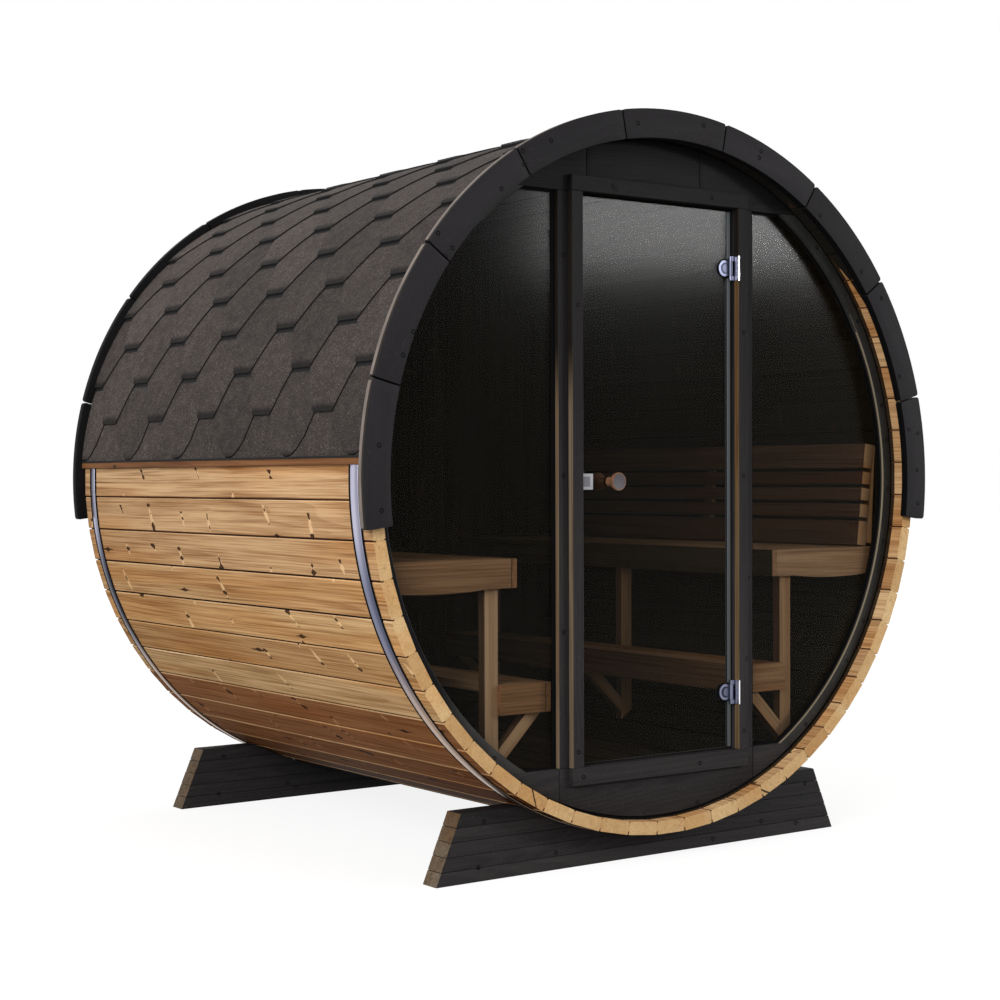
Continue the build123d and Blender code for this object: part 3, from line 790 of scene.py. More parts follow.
def shingle_course(piece, side, index):
    """One course of tabs, built from the eave side up, each a closed curved strip."""
    first = FRONT + TAB_SHIFT - TAB_PERIOD + 0.5 * TAB_PERIOD * (index % 2)
    centres = [first + i * TAB_PERIOD for i in range(int((REAR - FRONT) / TAB_PERIOD) + 3)]
    edges = [(centre, sign) for centre in centres for sign in (-1, 1)]

    def place(row, edge):
        half = TAB_END + TAB_FLARE * min(row, 1.0)
        if index == 0:
            # the tabs of the first course are narrower towards the eave
            half -= 0.040 * max(0.0, 1 - (row - 0.083) / 0.45) ** 2
        return min(max(edge[0] + edge[1] * half, FRONT), REAR)

    for tab, pair in enumerate(zip(edges, edges[1:])):
        is_tab = tab % 2 == 0
        if place(1.0, pair[0]) >= REAR - 1e-6 or place(1.0, pair[1]) <= FRONT + 1e-6:
            continue
        rows = []
        for row in COURSE_ROWS if is_tab else COURSE_ROWS[5:]:
            turn = max(FIRST_COURSE - (index + row) * COURSE, 0.0005)
            turn = min(turn, EAVE_TURN) if index == 0 else turn
            height = row * COURSE_HEIGHT
            radius = ROOF_SKIN - COURSE_RISE * row / 2
            above = height if is_tab else NO_EDGE
            rows.append([roof_spot(side, turn, y, radius, TAB_THICK, (height, y, above))
                         for y in (place(row, edge) for edge in pair)])
        offset = scatter(1, 1, 0)
        piece.add_sheet(rows, side < 0, 1, rng.random(), offset)


def ridge_caps(piece, side):
    """Half of each overlapping cap along the ridge."""
    for index in range(int((REAR - FRONT) / RIDGE_EXPOSURE) + 1):
        start = FRONT + index * RIDGE_EXPOSURE
        end = min(start + RIDGE_CAP, REAR)
        if end - start < 0.02:
            continue
        rows = []
        for y, reach in ((start, RIDGE_NOSE_HALF), (start + RIDGE_NOSE, RIDGE_CAP_HALF),
                         (end, RIDGE_CAP_HALF)):
            lift = 0.0004 + 0.0012 * (end - y) / RIDGE_CAP
            turns = [reach / ROOF_RADIUS * i / RIDGE_STEPS + 0.0002 for i in range(RIDGE_STEPS + 1)]
            rows.append([roof_spot(side, turn, y, ROOF_RADIUS + lift, 0.0030,
                                   (turn * ROOF_RADIUS, y, NO_EDGE)) for turn in turns])
        piece.add_sheet(rows, side > 0, 1, (0.2, 0.7, 0.45)[index % 3], scatter(1, 1, 0))


def starter_strip(piece, side):
    """The strip of shingle under the first course, seen between its tabs."""
    top = FIRST_COURSE - COURSE * 1.2
    rows = []
    for part in (i / 8 for i in range(9)):
        turn = EAVE_TURN + (top - EAVE_TURN) * part
        radius = ROOF_SKIN - TAB_THICK - 0.0004 - COURSE_RISE * part / 2
        rows.append([roof_spot(side, turn, y, radius, 0.0030, (turn * ROOF_RADIUS, y, NO_EDGE))
                     for y in (FRONT, REAR)])
    piece.add_sheet(rows, side < 0, 0, 0.4, scatter(1, 0, 0))


def make_roof():
    for side, name in ((1, "roof_right"), (-1, "roof_left")):
        piece = Piece(name + "_shingles", SHINGLE, BITUMEN)
        starter_strip(piece, side)
        for index in range(COURSES):
            shingle_course(piece, side, index)
        ridge_caps(piece, side)
        piece.finish("roof_shingle", name, 35)

        deck = Piece(name + "_underlay", BITUMEN)
        turns = [0.0003 + (EAVE_TURN - 0.0003) * i / UNDERLAY_STEPS for i in range(UNDERLAY_STEPS + 1)]
        rows = [[roof_spot(side, turn, y, BARREL_RADIUS + 0.0045, 0.0040, (turn, y, 0.0))
                 for y in (FRONT, REAR)] for turn in turns]
        deck.add_sheet(rows, side > 0, 0, 0.5)
        deck.finish("roof_shingle", smooth=35)


def make_battens():
    """The battens under the eaves, and a black strip along their tops, painted shadow under the roof's edge.
    """
    piece = Piece("eave_batten_boards", BATTEN_WOOD)
    eave_shadow = Piece("eave_shadow_strips", BITUMEN)
    outer = high("eave_battens", X)
    bottom, top = low("eave_battens", Z) - AXIS_Z, high("eave_battens", Z) - AXIS_Z
    for side in (-1, 1):
        piece.add_box(side, (STAVE_FLAT, outer - 0.001), (FRONT, REAR), (bottom, top - EAVE_SHADOW_HEIGHT), Y)
        eave_shadow.add_box(side, (STAVE_FLAT, outer), (FRONT, REAR), (top - EAVE_SHADOW_HEIGHT, top), Y, 0.0005)
    piece.finish("batten_wood", "eave_battens")
    eave_shadow.finish("roof_shingle")


# ---- fascia -------------------------------------------------------------------------------------
FASCIA_BOARDS = 9
FASCIA_OUTER = high("front_fascia", Z) - AXIS_Z
FASCIA_INNER = FASCIA_OUTER - 0.084
FASCIA_ANGLE = math.radians(21.6)
FASCIA_GAP = 0.0044 / FASCIA_OUTER
FASCIA_STEPS = 14
OUTER_CORNER = 0.009            # how far a board's corners are rounded
INNER_CORNER = 0.005
SCREW_SINK = 0.0008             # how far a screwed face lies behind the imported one
SCREW_RADIUS = 0.0068
SCREW_DEPTH = 0.0012
FASCIA_SCREWS = [(71, 1.014), (71, 1.036), (54, 0.997), (40, 1.004), (33.5, 1.030), (19, 0.995), (9, 0.997),
                 (8, 1.036), (1.5, 1.024), (175, 1.018), (161, 0.994), (157, 0.986), (142, 0.994),
                 (142, 1.052), (128.5, 1.000), (122.5, 1.014), (121.7, 1.048), (116, 1.034), (98, 1.020),
                 (84, 1.036), (-4.5, 1.030), (184.5, 1.010)]


def fascia_outline(start, end):
    """(x, z) outline of a board of the fascia between two angles, its corners rounded."""
    def edge(radius, rounding, sign):
        quarter = [math.pi / 2 * k / 4 for k in range(5)]
        first = [(start + rounding * (1 - math.cos(a)) / radius, radius + sign * rounding * (math.sin(a) - 1))
                 for a in quarter]
        last = [(start + end - t, r) for t, r in reversed(first)]
        margin = rounding / radius
        middle = [(start + margin + (end - start - 2 * margin) * k / FASCIA_STEPS, radius)
                  for k in range(1, FASCIA_STEPS)]
        return first + middle + last

    outline = edge(FASCIA_OUTER, OUTER_CORNER, 1) + edge(FASCIA_INNER, INNER_CORNER, -1)[::-1]
    return [(r * math.cos(t), r * math.sin(t)) for t, r in outline]


def add_screw(piece, x, z, y, face=-1):
    """A sunk screw head in a face that looks along -y or +y."""
    rows = [[(a, SCREW_DEPTH * depth, b) for a, b in circle(SCREW_RADIUS * reach, 12)]
            for reach, depth in ((1.0, 0.0), (0.80, -0.35), (0.40, 0.4))]
    place = ((x, y, AXIS_Z + z), (-face, 0, 0), (0, -face, 0), (0, 0, 1))
    piece.add(loft(rows, caps=(False, True)), place)


def make_fascia():
    for name, y_low, y_high, face, stain in (
            ("front_fascia", FASCIA_FRONT + SCREW_SINK, FRONT, -1, FASCIA_STAIN),
            ("rear_fascia", REAR, high("rear_fascia", Y) - SCREW_SINK, 1, REAR_SHADE_STAIN)):
        piece = Piece(name + "_boards", stain, RIM_WOOD, GASKET)
        screws = Piece(name + "_screws", SCREW)
        first = math.pi / 2 - FASCIA_BOARDS * FASCIA_ANGLE / 2
        for index in range(FASCIA_BOARDS):
            start = first + index * FASCIA_ANGLE + FASCIA_GAP / 2
            end = start + FASCIA_ANGLE - FASCIA_GAP
            middle = (start + end) / 2

            def slot(normal):
                """Sealant in the joints, the front board's inner edge black as painted shade, its outer edge
                bare.
                """
                outward = normal[X] * math.cos(middle) + normal[Z] * math.sin(middle)
                if abs(normal[Y]) + abs(outward) < 0.6 and 0 < index < FASCIA_BOARDS - 1:
                    return 2
                if face < 0 and abs(outward) > 0.75:
                    # the inner edge is black: painted shade
                    return 1 if outward > 0 else 2
                return 0

            piece.add(*wall_prism(fascia_outline(start, end), y_low, y_high, 0.0018, middle + math.pi / 2),
                      slot=slot, grain_offset=scatter(1, 0, 1))
        for degrees, radius in FASCIA_SCREWS:
            angle = math.radians(degrees if face < 0 else 180 - degrees)
            y = (y_low if face < 0 else y_high) + face * 0.0002
            add_screw(screws, radius * math.cos(angle), radius * math.sin(angle), y, face)
        piece.finish("charcoal_wood", name, 30)
        screws.finish("charcoal_wood", smooth=40)


# ---- steel bands --------------------------------------------------------------------------------
BAND_WIDTH = 0.047
BAND_THICK = 0.0015
BAND_EDGE = 0.0006              # width of each of the two facets along an edge
BAND_STEPS = 180
# black strips along the bands' edges: painted shadow of the bands
SHADOW_STRIP_THICK = 0.0007
FRONT_LAP = 0.009               # how far the black strip of painted shadow covers the edge of the front band
REAR_LAP = 0.0095               # how far it covers each edge of the rear band


def make_bands():
    inset = low("steel_bands", Y)
    outer = BAND_RADIUS
    inner = outer - BAND_THICK
    rise = math.asin((high("steel_bands", Z) - AXIS_Z) / outer)
    angles = [math.pi - rise + (math.pi + 2 * rise) * k / BAND_STEPS for k in range(BAND_STEPS + 1)]
    piece = Piece("steel_band_strips", STEEL)
    shadow_strips = Piece("steel_band_shadow_strips", GASKET)

    def bent(y_start, section):
        return loft([[(r * math.cos(angle), y_start + y, AXIS_Z + r * math.sin(angle)) for y, r in section]
                     for angle in angles], flip=True)

    for y_start, width, shadow_width in ((inset + FRONT_LAP, BAND_WIDTH - FRONT_LAP, FRONT_LAP),
                                       (-inset - BAND_WIDTH + REAR_LAP, BAND_WIDTH - 2 * REAR_LAP, REAR_LAP)):
        half = [(0.0, inner), (BAND_EDGE, outer - BAND_EDGE / 2), (2 * BAND_EDGE, outer)]
        section = half + [(width - y, r) for y, r in reversed(half)]
        grain = [(angle * outer, y, r) for angle in angles for y, r in section]
        # the rear band gets the deeper painted dark band
        tone = 1.0 if y_start < 0 else 0.0
        piece.add(bent(y_start, section), None, tone, grain=grain, grain_offset=(0.0, 0.0, 0.0))
        # black strips of painted shadow along the band's edges
        lap = [(0.0, inner), (0.0, inner + SHADOW_STRIP_THICK), (shadow_width, inner + SHADOW_STRIP_THICK), (shadow_width, inner)]
        for edge in (y_start - shadow_width, y_start + width):
            shadow_strips.add(bent(edge, lap))
    piece.finish("steel_band", "steel_bands", 40)
    shadow_strips.finish("steel_band", smooth=40)


# ---- cradles ------------------------------------------------------------------------------------
CRADLE_PLANK = 0.039
CRADLE_PLANKS = 5
CRADLE_TAPER = 0.0825           # how much shorter each end is at the top
CRADLE_SCREWS = [(0.60, 0.030), (0.64, 0.150), (0.45, 0.052), (0.25, 0.020), (-0.62, 0.040), (-0.60, 0.165),
                 (-0.35, 0.050)]


def make_cradles():
    base_half = high("front_cradle", X)
    height = high("front_cradle", Z)
    reach = BARREL_RADIUS + 0.0004

    def half(z):
        return base_half - CRADLE_TAPER * (z + AXIS_Z) / height

    for name in ("front_cradle", "rear_cradle"):
        piece = Piece(name + "_planks", CHARCOAL, CRADLE_END)
        y_low, y_high = low(name, Y) + SCREW_SINK, high(name, Y) - SCREW_SINK
        for index in range(CRADLE_PLANKS):
            low_z = index * CRADLE_PLANK - AXIS_Z
            high_z = min((index + 1) * CRADLE_PLANK - 0.0012, height) - AXIS_Z
            ends = [(half(low_z), low_z), (half(high_z), high_z)]
            outlines = [mirrored(-1, ends[:1]) + ends + mirrored(-1, ends[1:])]
            if high_z > -reach:
                levels = [low_z + (high_z - low_z) * k / 10 for k in range(11)]
                curve = [(math.sqrt(reach ** 2 - z * z), z) for z in levels if z > -reach]
                if low_z < -reach:
                    curve = [(0.0, low_z), (0.0, -reach)] + curve
                outlines = [mirrored(side, ends + curve[::-1]) for side in (-1, 1)]
            for outline in outlines:
                piece.add(*wall_prism(outline, y_low, y_high, 0.0014), slot=lambda n: abs(n[X]) > 0.6)
        piece.finish("charcoal_wood", name, 30)
        screws = Piece(name + "_screws", SCREW)
        for x, z in CRADLE_SCREWS:
            add_screw(screws, x, z - AXIS_Z, y_low - 0.0002)
            add_screw(screws, x, z - AXIS_Z, y_high + 0.0002, 1)
        screws.finish("charcoal_wood", smooth=40)


# ---- front wall ---------------------------------------------------------------------------------
JAMB_INNER = high("door_jambs", X) - 0.040
JAMB_OUTER = high("door_jambs", X)
JAMB_FRONT = low("door_jambs", Y)
POST_OUTER = high("window_posts", X)
WALL_RADIUS = ROOM_RADIUS - 0.0085          # black sealant fills the rest, drawn wide as painted shadow between the wall and the staves
BEYOND = 2.0                                # farther out than any edge of a wall
FRAME_SCREWS = [(-0.3175, 0.490), (-0.3175, -0.770), (0.3175, 0.440), (0.3175, 0.010), (0.3175, -0.760),
                (-0.190, 0.835), (0.190, 0.835), (-0.300, -0.842), (0.140, -0.842)]
POST_SCREWS = [(-0.355, 0.630), (-0.355, 0.010), (-0.355, -0.430), (0.355, 0.560), (0.355, -0.300)]
RING_SCREW_ANGLES = [-52, -36.5, -28, -12, -2, 14, 31, 48]


def segment(radius, z_low, z_high, x_low, x_high, steps=24):
    """(x, z) outline, about the axis, of the part of a disc between these lines."""
    xs = [x_high + (x_low - x_high) * k / steps for k in range(steps + 1)]
    reaches = [(x, math.sqrt(max(radius ** 2 - x * x, 0.0))) for x in xs]
    outline = [(x, min(reach, z_high) if z_high > 0 else z_high) for x, reach in reaches]
    outline += [(x, max(-reach, z_low) if z_low < 0 else z_low) for x, reach in reversed(reaches)]
    return [p for p, before in zip(outline, outline[-1:] + outline) if math.dist(p, before) > 1e-5]


def wall_panel(name, z_low, z_high, joints):
    """Level boards that fill a segment of the round wall, with joints at these values of x."""
    piece = Piece(name + "_boards", CHARCOAL)
    edge = z_low if z_low > 0 else z_high
    reach = math.sqrt(WALL_RADIUS ** 2 - edge ** 2) - 0.0005
    stops = [-reach] + joints + [reach]
    for start, end in zip(stops, stops[1:]):
        outline = segment(WALL_RADIUS, z_low, z_high, start + 0.0010, end - 0.0010)
        piece.add(*wall_prism(outline, WALL_FRONT, WALL_BACK, 0.0014))
    piece.finish("charcoal_wood", name, 30)


def make_front_wall():
    wall_panel("front_top_panel", OPENING_HIGH, BEYOND, [-0.270, 0.160])
    wall_panel("front_bottom_panel", -BEYOND, OPENING_LOW, [-POST_OUTER, POST_OUTER])

    ring = Piece("front_ring_boards", RING_STAIN, RING_WOOD)
    outline = rising_arc(WALL_RADIUS, OPENING_LOW, OPENING_HIGH)
    outline += rising_arc(RING_INNER, OPENING_HIGH, OPENING_LOW)
    for side in (-1, 1):
        ring.add(*wall_prism(mirrored(side, outline), WALL_FRONT, WALL_BACK, 0.0012, math.pi / 2),
                 slot=lambda n: abs(n[Y]) <= 0.5 and n[Z] >= -0.5)
    ring.finish("charcoal_wood", "front_ring", 30)

    # a sealed joint between the wall and the staves, drawn wide as painted shadow
    sealant = Piece("front_wall_sealant_and_shadow", GASKET)
    sealant.add(loft([[(r * c, y, AXIS_Z + r * s) for r, y in (
        (WALL_RADIUS - 0.002, WALL_FRONT + 0.005), (ROOM_RADIUS, WALL_FRONT + 0.005),
        (ROOM_RADIUS, WALL_BACK - 0.002), (WALL_RADIUS - 0.002, WALL_BACK - 0.002))]
        for c, s in circle(1.0, 120)], wrap=True))
    sealant.finish("charcoal_wood", smooth=40)

    posts = Piece("window_post_boards", CHARCOAL, LEFT_BARE_WOOD, BARE_WOOD)
    jambs = Piece("door_jamb_boards", CHARCOAL, LEFT_BARE_WOOD, BARE_WOOD)
    opening = (OPENING_LOW, OPENING_HIGH)
    for side, bare in ((-1, 1), (1, 2)):
        posts.add_box(side, (JAMB_INNER, POST_OUTER), (WALL_FRONT + SCREW_SINK, WALL_BACK), opening, Z,
                      slot=lambda n: bare if n[X] * side > 0.5 else 0)
        jambs.add_box(side, (JAMB_INNER, JAMB_OUTER), (JAMB_FRONT + SCREW_SINK, WALL_FRONT), opening, Z,
                      slot=lambda n: bare if abs(n[X]) > 0.5 else 0)
    posts.finish("charcoal_wood", "window_posts", 30)
    jambs.finish("charcoal_wood", "door_jambs", 30)
    for name in ("door_head", "door_sill"):
        piece = Piece(name + "_board", CHARCOAL)
        piece.add(*box_board(np.add(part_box(name)[0], (0, SCREW_SINK, 0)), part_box(name)[1], X))
        piece.finish("charcoal_wood", name, 30)


def make_screws():
    piece = Piece("front_wall_screws", SCREW)
    for x, z in FRAME_SCREWS:
        add_screw(piece, x, z, JAMB_FRONT + SCREW_SINK - 0.0002)
    for x, z in POST_SCREWS:
        add_screw(piece, x, z, WALL_FRONT + SCREW_SINK - 0.0002)
    radius = (ROOM_RADIUS + RING_INNER) / 2
    for angle in map(math.radians, RING_SCREW_ANGLES):
        for side in (-1, 1):
            x, z = side * radius * math.cos(angle), radius * math.sin(angle)
            add_screw(piece, x, z, WALL_FRONT - 0.0002)
    piece.finish("charcoal_wood", smooth=40)


# ---- windows and door ---------------------------------------------------------------------------
HINGE_LOW = low("hinge_leaves", Z) + 0.036        # half a leaf up
HINGE_HIGH = high("hinge_leaves", Z) - 0.036
HINGE_CLEAR = 0.028
SEAL_WIDTH = 0.013
CLAMP_RADIUS = 0.024
CLAMP_PLATE = 0.0055
CLAMP_RECESS = 0.0168
CLAMP_CAP_RADIUS = 0.0125
CLAMP_CAP_SHIFT = 0.004
LINING_RIM = 0.003              # how far the black lining shows round a clamp
INSET_SIDE = 0.0105             # the catch's rim round its inset
INSET_END = 0.0085
KNOB_PROFILE = [(0.0135, 0.0), (0.0128, 0.004), (0.0122, 0.012), (0.0135, 0.019), (0.0180, 0.026),
                (0.0235, 0.033), (0.0258, 0.0375), (0.0260, 0.0410), (0.0260, 0.0440), (0.0254, 0.0455),
                (0.0240, 0.0460), (0.0222, 0.0456)]
KNOB_CENTRE = 0.0450            # reach of the middle of a knob's face
KNOB_STEPS = 48


def glass_slot(normal):
    return abs(normal[Y]) <= 0.7


def make_windows():
    for side, name in ((1, "right_window"), (-1, "left_window")):
        y_low, y_high = low(name, Y), high(name, Y)
        z_low, z_high = low(name, Z) - AXIS_Z, high(name, Z) - AXIS_Z
        start = min(abs(low(name, X)), abs(high(name, X)))

        def outline(straight=0.0, level=0.0, curved=0.0):
            """The pane's outline, brought in by these from its straight, level and curved sides."""
            bottom, top = z_low + level, z_high - level
            curve = rising_arc(RING_INNER - 0.0003 - curved, bottom, top)
            return mirrored(side, [(start + straight, bottom)] + curve + [(start + straight, top)])

        piece = Piece(name + "_pane", GLASS, GASKET)
        piece.add(*wall_prism(outline(), y_low, y_high), slot=glass_slot)
        piece.finish("tinted_glass", name, 20)

        gasket = Piece(name + "_gasket", GASKET)
        front, back = y_low - 0.004, y_low - 0.0002
        outer, inner = outline(), outline(0.013, 0.007, 0.004)
        rows = [[(x, y, AXIS_Z + z) for x, z in line]
                for line, y in ((outer, front), (inner, front), (inner, back), (outer, back))]
        gasket.add(loft(rows, flip=side > 0, wrap=True))
        gasket.finish("charcoal_wood", smooth=30)


def disc(x, z, y_low, y_high, radius):
    """A flat disc that faces along y, its middle at x and z."""
    return loft([[(x + a, y, z + b) for a, b in circle(radius, 40)] for y in (y_low, y_high)], flip=True)


def make_door():
    pane = Piece("door_pane", GLASS, GLASS_EDGE)
    low_corner, high_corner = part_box("door_glass")
    pane.add(*box_board(low_corner, high_corner, Z, 0.0008), slot=glass_slot)
    pane.finish("tinted_glass", "door_glass", body="door")

    # the strip along the hinge side that closes the gap to the jamb, cut away at the hinges
    seal = Piece("door_seal", SEAL)
    stops = [low_corner[Z] + 0.002, HINGE_LOW - HINGE_CLEAR, HINGE_LOW + HINGE_CLEAR,
             HINGE_HIGH - HINGE_CLEAR, HINGE_HIGH + HINGE_CLEAR, high_corner[Z] - 0.002]
    for start, end in zip(stops[::2], stops[1::2]):
        for y_low, y_high in ((low_corner[Y] - 0.0012, low_corner[Y] - 0.0001),
                              (high_corner[Y] + 0.0001, high_corner[Y] + 0.0012)):
            seal.add(*box_board((high_corner[X] - SEAL_WIDTH, y_low, start), (high_corner[X], y_high, end), Z,
                                0.0004))
    seal.finish("tinted_glass", body="door")

    for name, material in (("door_hinges", CLAMP_CHROME), ("hinge_leaves", LEAF_CHROME),
                           ("door_catch", CATCH)):
        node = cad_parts[name]
        node.data.materials.clear()
        node.data.materials.append(material)
        bevel = node.modifiers.new("eased_edges", "BEVEL")
        bevel.width = 0.0008
        bevel.segments = 2
        bevel.limit_method = "ANGLE"
        bevel.angle_limit = math.radians(40)

    recess = Piece("hinge_clamp_recesses", CLAMP_RECESS_SHADE, CLAMP_PAINTED_LIGHT)
    lining = Piece("hinge_clamp_linings", GASKET)
    clamp_x = low("door_hinges", X) + CLAMP_RADIUS
    face = low_corner[Y] - CLAMP_PLATE
    for z in (HINGE_LOW, HINGE_HIGH):
        # the recess as flat discs: the dark one painted shade, the shifted paler one painted light
        recess.add(disc(clamp_x, z, face - 0.0004, face + 0.001, CLAMP_RECESS))
        recess.add(disc(clamp_x + CLAMP_CAP_SHIFT, z, face - 0.0010, face, CLAMP_CAP_RADIUS), slot=1)
        lining.add(disc(clamp_x, z, low_corner[Y] - 0.0012, low_corner[Y] - 0.0001,
                        CLAMP_RADIUS + LINING_RIM))
    recess.finish("hinge_chrome", smooth=40, body="door")
    lining.finish("hinge_chrome", smooth=40, body="door")

    inset = Piece("door_catch_inset", CATCH_INSET)
    low_corner, high_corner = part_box("door_catch")
    front = low_corner[Y] - 0.0004
    inset.add(*box_board((low_corner[X] + INSET_SIDE, front, low_corner[Z] + INSET_END),
                         (high_corner[X] - INSET_SIDE, front + 0.001, high_corner[Z] - INSET_END),
                         Z, 0.0004))
    inset.finish("catch_plate", body="door")


def make_knobs():
    centre_x = (low("door_knobs", X) + high("door_knobs", X)) / 2
    centre_z = (low("door_knobs", Z) + high("door_knobs", Z)) / 2
    piece = Piece("door_knob_turnings", KNOB_WOOD, KNOB_FACE)
    for y_start, direction in ((low("door_glass", Y), -1), (high("door_glass", Y), 1)):
        rows = [[(centre_x + a, y_start + direction * reach, centre_z + b)
                 for a, b in circle(radius, KNOB_STEPS)] for radius, reach in KNOB_PROFILE]
        points, faces = loft(rows, direction > 0, caps=(False, False))
        slots = [0] * len(faces) + [1] * KNOB_STEPS
        rim = list(range(len(points) - KNOB_STEPS, len(points)))
        faces += [[a, b, len(points)][::-direction] for a, b in zip(rim, rim[1:] + rim[:1])]
        points.append((centre_x, y_start + direction * KNOB_CENTRE, centre_z))
        piece.add((points, faces), slot=slots, grain=[(y, x, z) for x, y, z in points])
    piece.finish("knob_wood", "door_knobs", 45, "door")


# ---- rear wall, floor and benches ---------------------------------------------------------------
REAR_BOARDS = 16
FLOOR_TOP = high("floor_boards", Z) - AXIS_Z
FLOOR_PITCH = 0.112
FLOOR_WIDTH = 0.100
FLOOR_THICK = 0.025
BEARER_WIDTH = 0.060
BEARER_DEPTH = 0.045
BEARER_INSET = 0.100            # from the boards' ends
BENCH_TOP = high("right_upper_bench", Z) - AXIS_Z
BENCH_APRON = 0.082
BENCH_AISLE = low("right_upper_bench", X)
BENCH_BOARD = 0.020
BENCH_SLAT = 0.027
BENCH_BOW = 0.009               # how far the lower edge of an end bows down
BENCH_FRONT = low("right_upper_bench", Y)
STEP_TOP = high("right_lower_bench", Z) - AXIS_Z
STEP_APRON = 0.084
STEP_AISLE = low("right_lower_bench", X)
POST_INNER_X = 0.542
POST_WIDTH = 0.046
FRAME_DEPTH = 0.030
BRACE_REACH = 0.053             # length of a brace's end along the beam or the post
FRAME_STARTS = (BENCH_FRONT + BENCH_BOARD + 0.0004, -FRAME_DEPTH / 2,
                -BENCH_FRONT - BENCH_BOARD - 0.0004 - FRAME_DEPTH)
BACKREST_BOARDS = [0.0788, 0.0428, 0.0408, 0.0408, 0.0788]
BACKREST_GAP = 0.012
BACKREST_THICK = 0.040
BACKREST_LIFT = 0.006
STRUT_WIDTH = 0.040
BACKREST_FOOT = 0.0648          # from the lowest board's face to the room's wall
BACKREST_HEAD = 0.0442          # from the highest board's face to it


def make_rear_wall():
    """Upright boards: stained outside; inside, bare wood made nearly black as painted shade."""
    piece = Piece("rear_wall_boards", CHARCOAL, ROOM_SHADE_WOOD)
    width = 2 * ROOM_RADIUS / REAR_BOARDS
    edge = ROOM_RADIUS - 0.001
    for index in range(REAR_BOARDS):
        start = -ROOM_RADIUS + index * width + 0.0006
        end = start + width - 0.0012
        outline = segment(ROOM_RADIUS, -BEYOND, BEYOND, max(start, -edge), min(end, edge), 8)
        piece.add(*wall_prism(outline, low("rear_wall", Y), high("rear_wall", Y), 0.0020, math.pi / 2),
                  slot=lambda n: n[Y] <= 0.5)
    piece.finish("charcoal_wood", "rear_wall", 30)


def make_floor():
    piece = Piece("floor_planks", FLOOR_SHADE_WOOD)
    y_low, y_high = low("floor_boards", Y), high("floor_boards", Y)
    start, reach = low("floor_boards", X), high("floor_boards", X)
    under = FLOOR_TOP - FLOOR_THICK
    for index in range(round((reach - start + FLOOR_PITCH - FLOOR_WIDTH) / FLOOR_PITCH)):
        x = start + index * FLOOR_PITCH
        piece.add_box(1, (x, x + FLOOR_WIDTH), (y_low, y_high), (under, FLOOR_TOP), Y, 0.003)
    first = y_low + BEARER_INSET
    xs = [-reach + 2 * reach * k / 12 for k in range(13)]
    curve = [(x, max(under - BEARER_DEPTH, -room_reach(x))) for x in xs]
    for y in (first, -BEARER_WIDTH / 2, -first - BEARER_WIDTH):
        piece.add(*wall_prism(curve + [(reach, under), (-reach, under)], y, y + BEARER_WIDTH, 0.001))
    piece.finish("floor_wood", "floor_boards", 30)


def timber_slot(normal):
    """The benches' faces that look left or right get little light, and take a darker copy of the wood:
    painted shade.
    """
    return abs(normal[X]) > 0.5


def bench_seat(side, name, side_wood, aisle, end, top, apron, slats, gap):
    """A seat's board along the aisle and its slats, as the piece that its ends are added to."""
    piece = Piece(name + "_boards", BENCH_WOOD, side_wood)
    start = aisle + BENCH_BOARD
    width = (end - start - (slats - 1) * gap) / slats
    slat_front = BENCH_FRONT + BENCH_BOARD + 0.0003
    piece.add_box(side, (aisle, start - 0.0003), (BENCH_FRONT, -BENCH_FRONT), (top - apron, top), Y,
                  slot=timber_slot)
    for index in range(slats):
        x = start + index * (width + gap)
        piece.add_box(side, (x, x + width), (slat_front, -slat_front), (top - BENCH_SLAT, top), Y, 0.0025)
    return piece


def upper_bench(side, name):
    low_z = BENCH_TOP - BENCH_APRON
    end = room_reach(BENCH_TOP - BENCH_SLAT) - 0.004
    piece = bench_seat(side, name, UPPER_SEAT_SIDE_SHADE, BENCH_AISLE, end, BENCH_TOP, BENCH_APRON, 5, 0.010)
    start = BENCH_AISLE + BENCH_BOARD
    bow_start, bow_end = POST_INNER_X + POST_WIDTH, end - 0.020
    outline = [(start, low_z)]
    for t in (k / 16 for k in range(17)):
        outline.append((bow_start + (bow_end - bow_start) * t, low_z - BENCH_BOW * 4 * t * (1 - t)))
    for z in (low_z + BENCH_APRON * k / 4 for k in range(5)):
        outline.append((room_reach(z) - 0.0005, z))
    outline.append((start, BENCH_TOP))
    for y in (BENCH_FRONT, -BENCH_FRONT - BENCH_BOARD):
        piece.add(*wall_prism(mirrored(side, outline), y, y + BENCH_BOARD, 0.0012))
    piece.finish("bench_wood", name, 30)


def lower_bench(side, name):
    piece = bench_seat(side, name, BENCH_SIDE_SHADE, STEP_AISLE, POST_INNER_X, STEP_TOP, STEP_APRON, 2, 0.008)
    for y in (BENCH_FRONT, -BENCH_FRONT - BENCH_BOARD):
        piece.add_box(side, (STEP_AISLE + BENCH_BOARD, POST_INNER_X + 0.004), (y, y + BENCH_BOARD),
                      (STEP_TOP - STEP_APRON, STEP_TOP), X)
    piece.finish("bench_wood", name, 30)


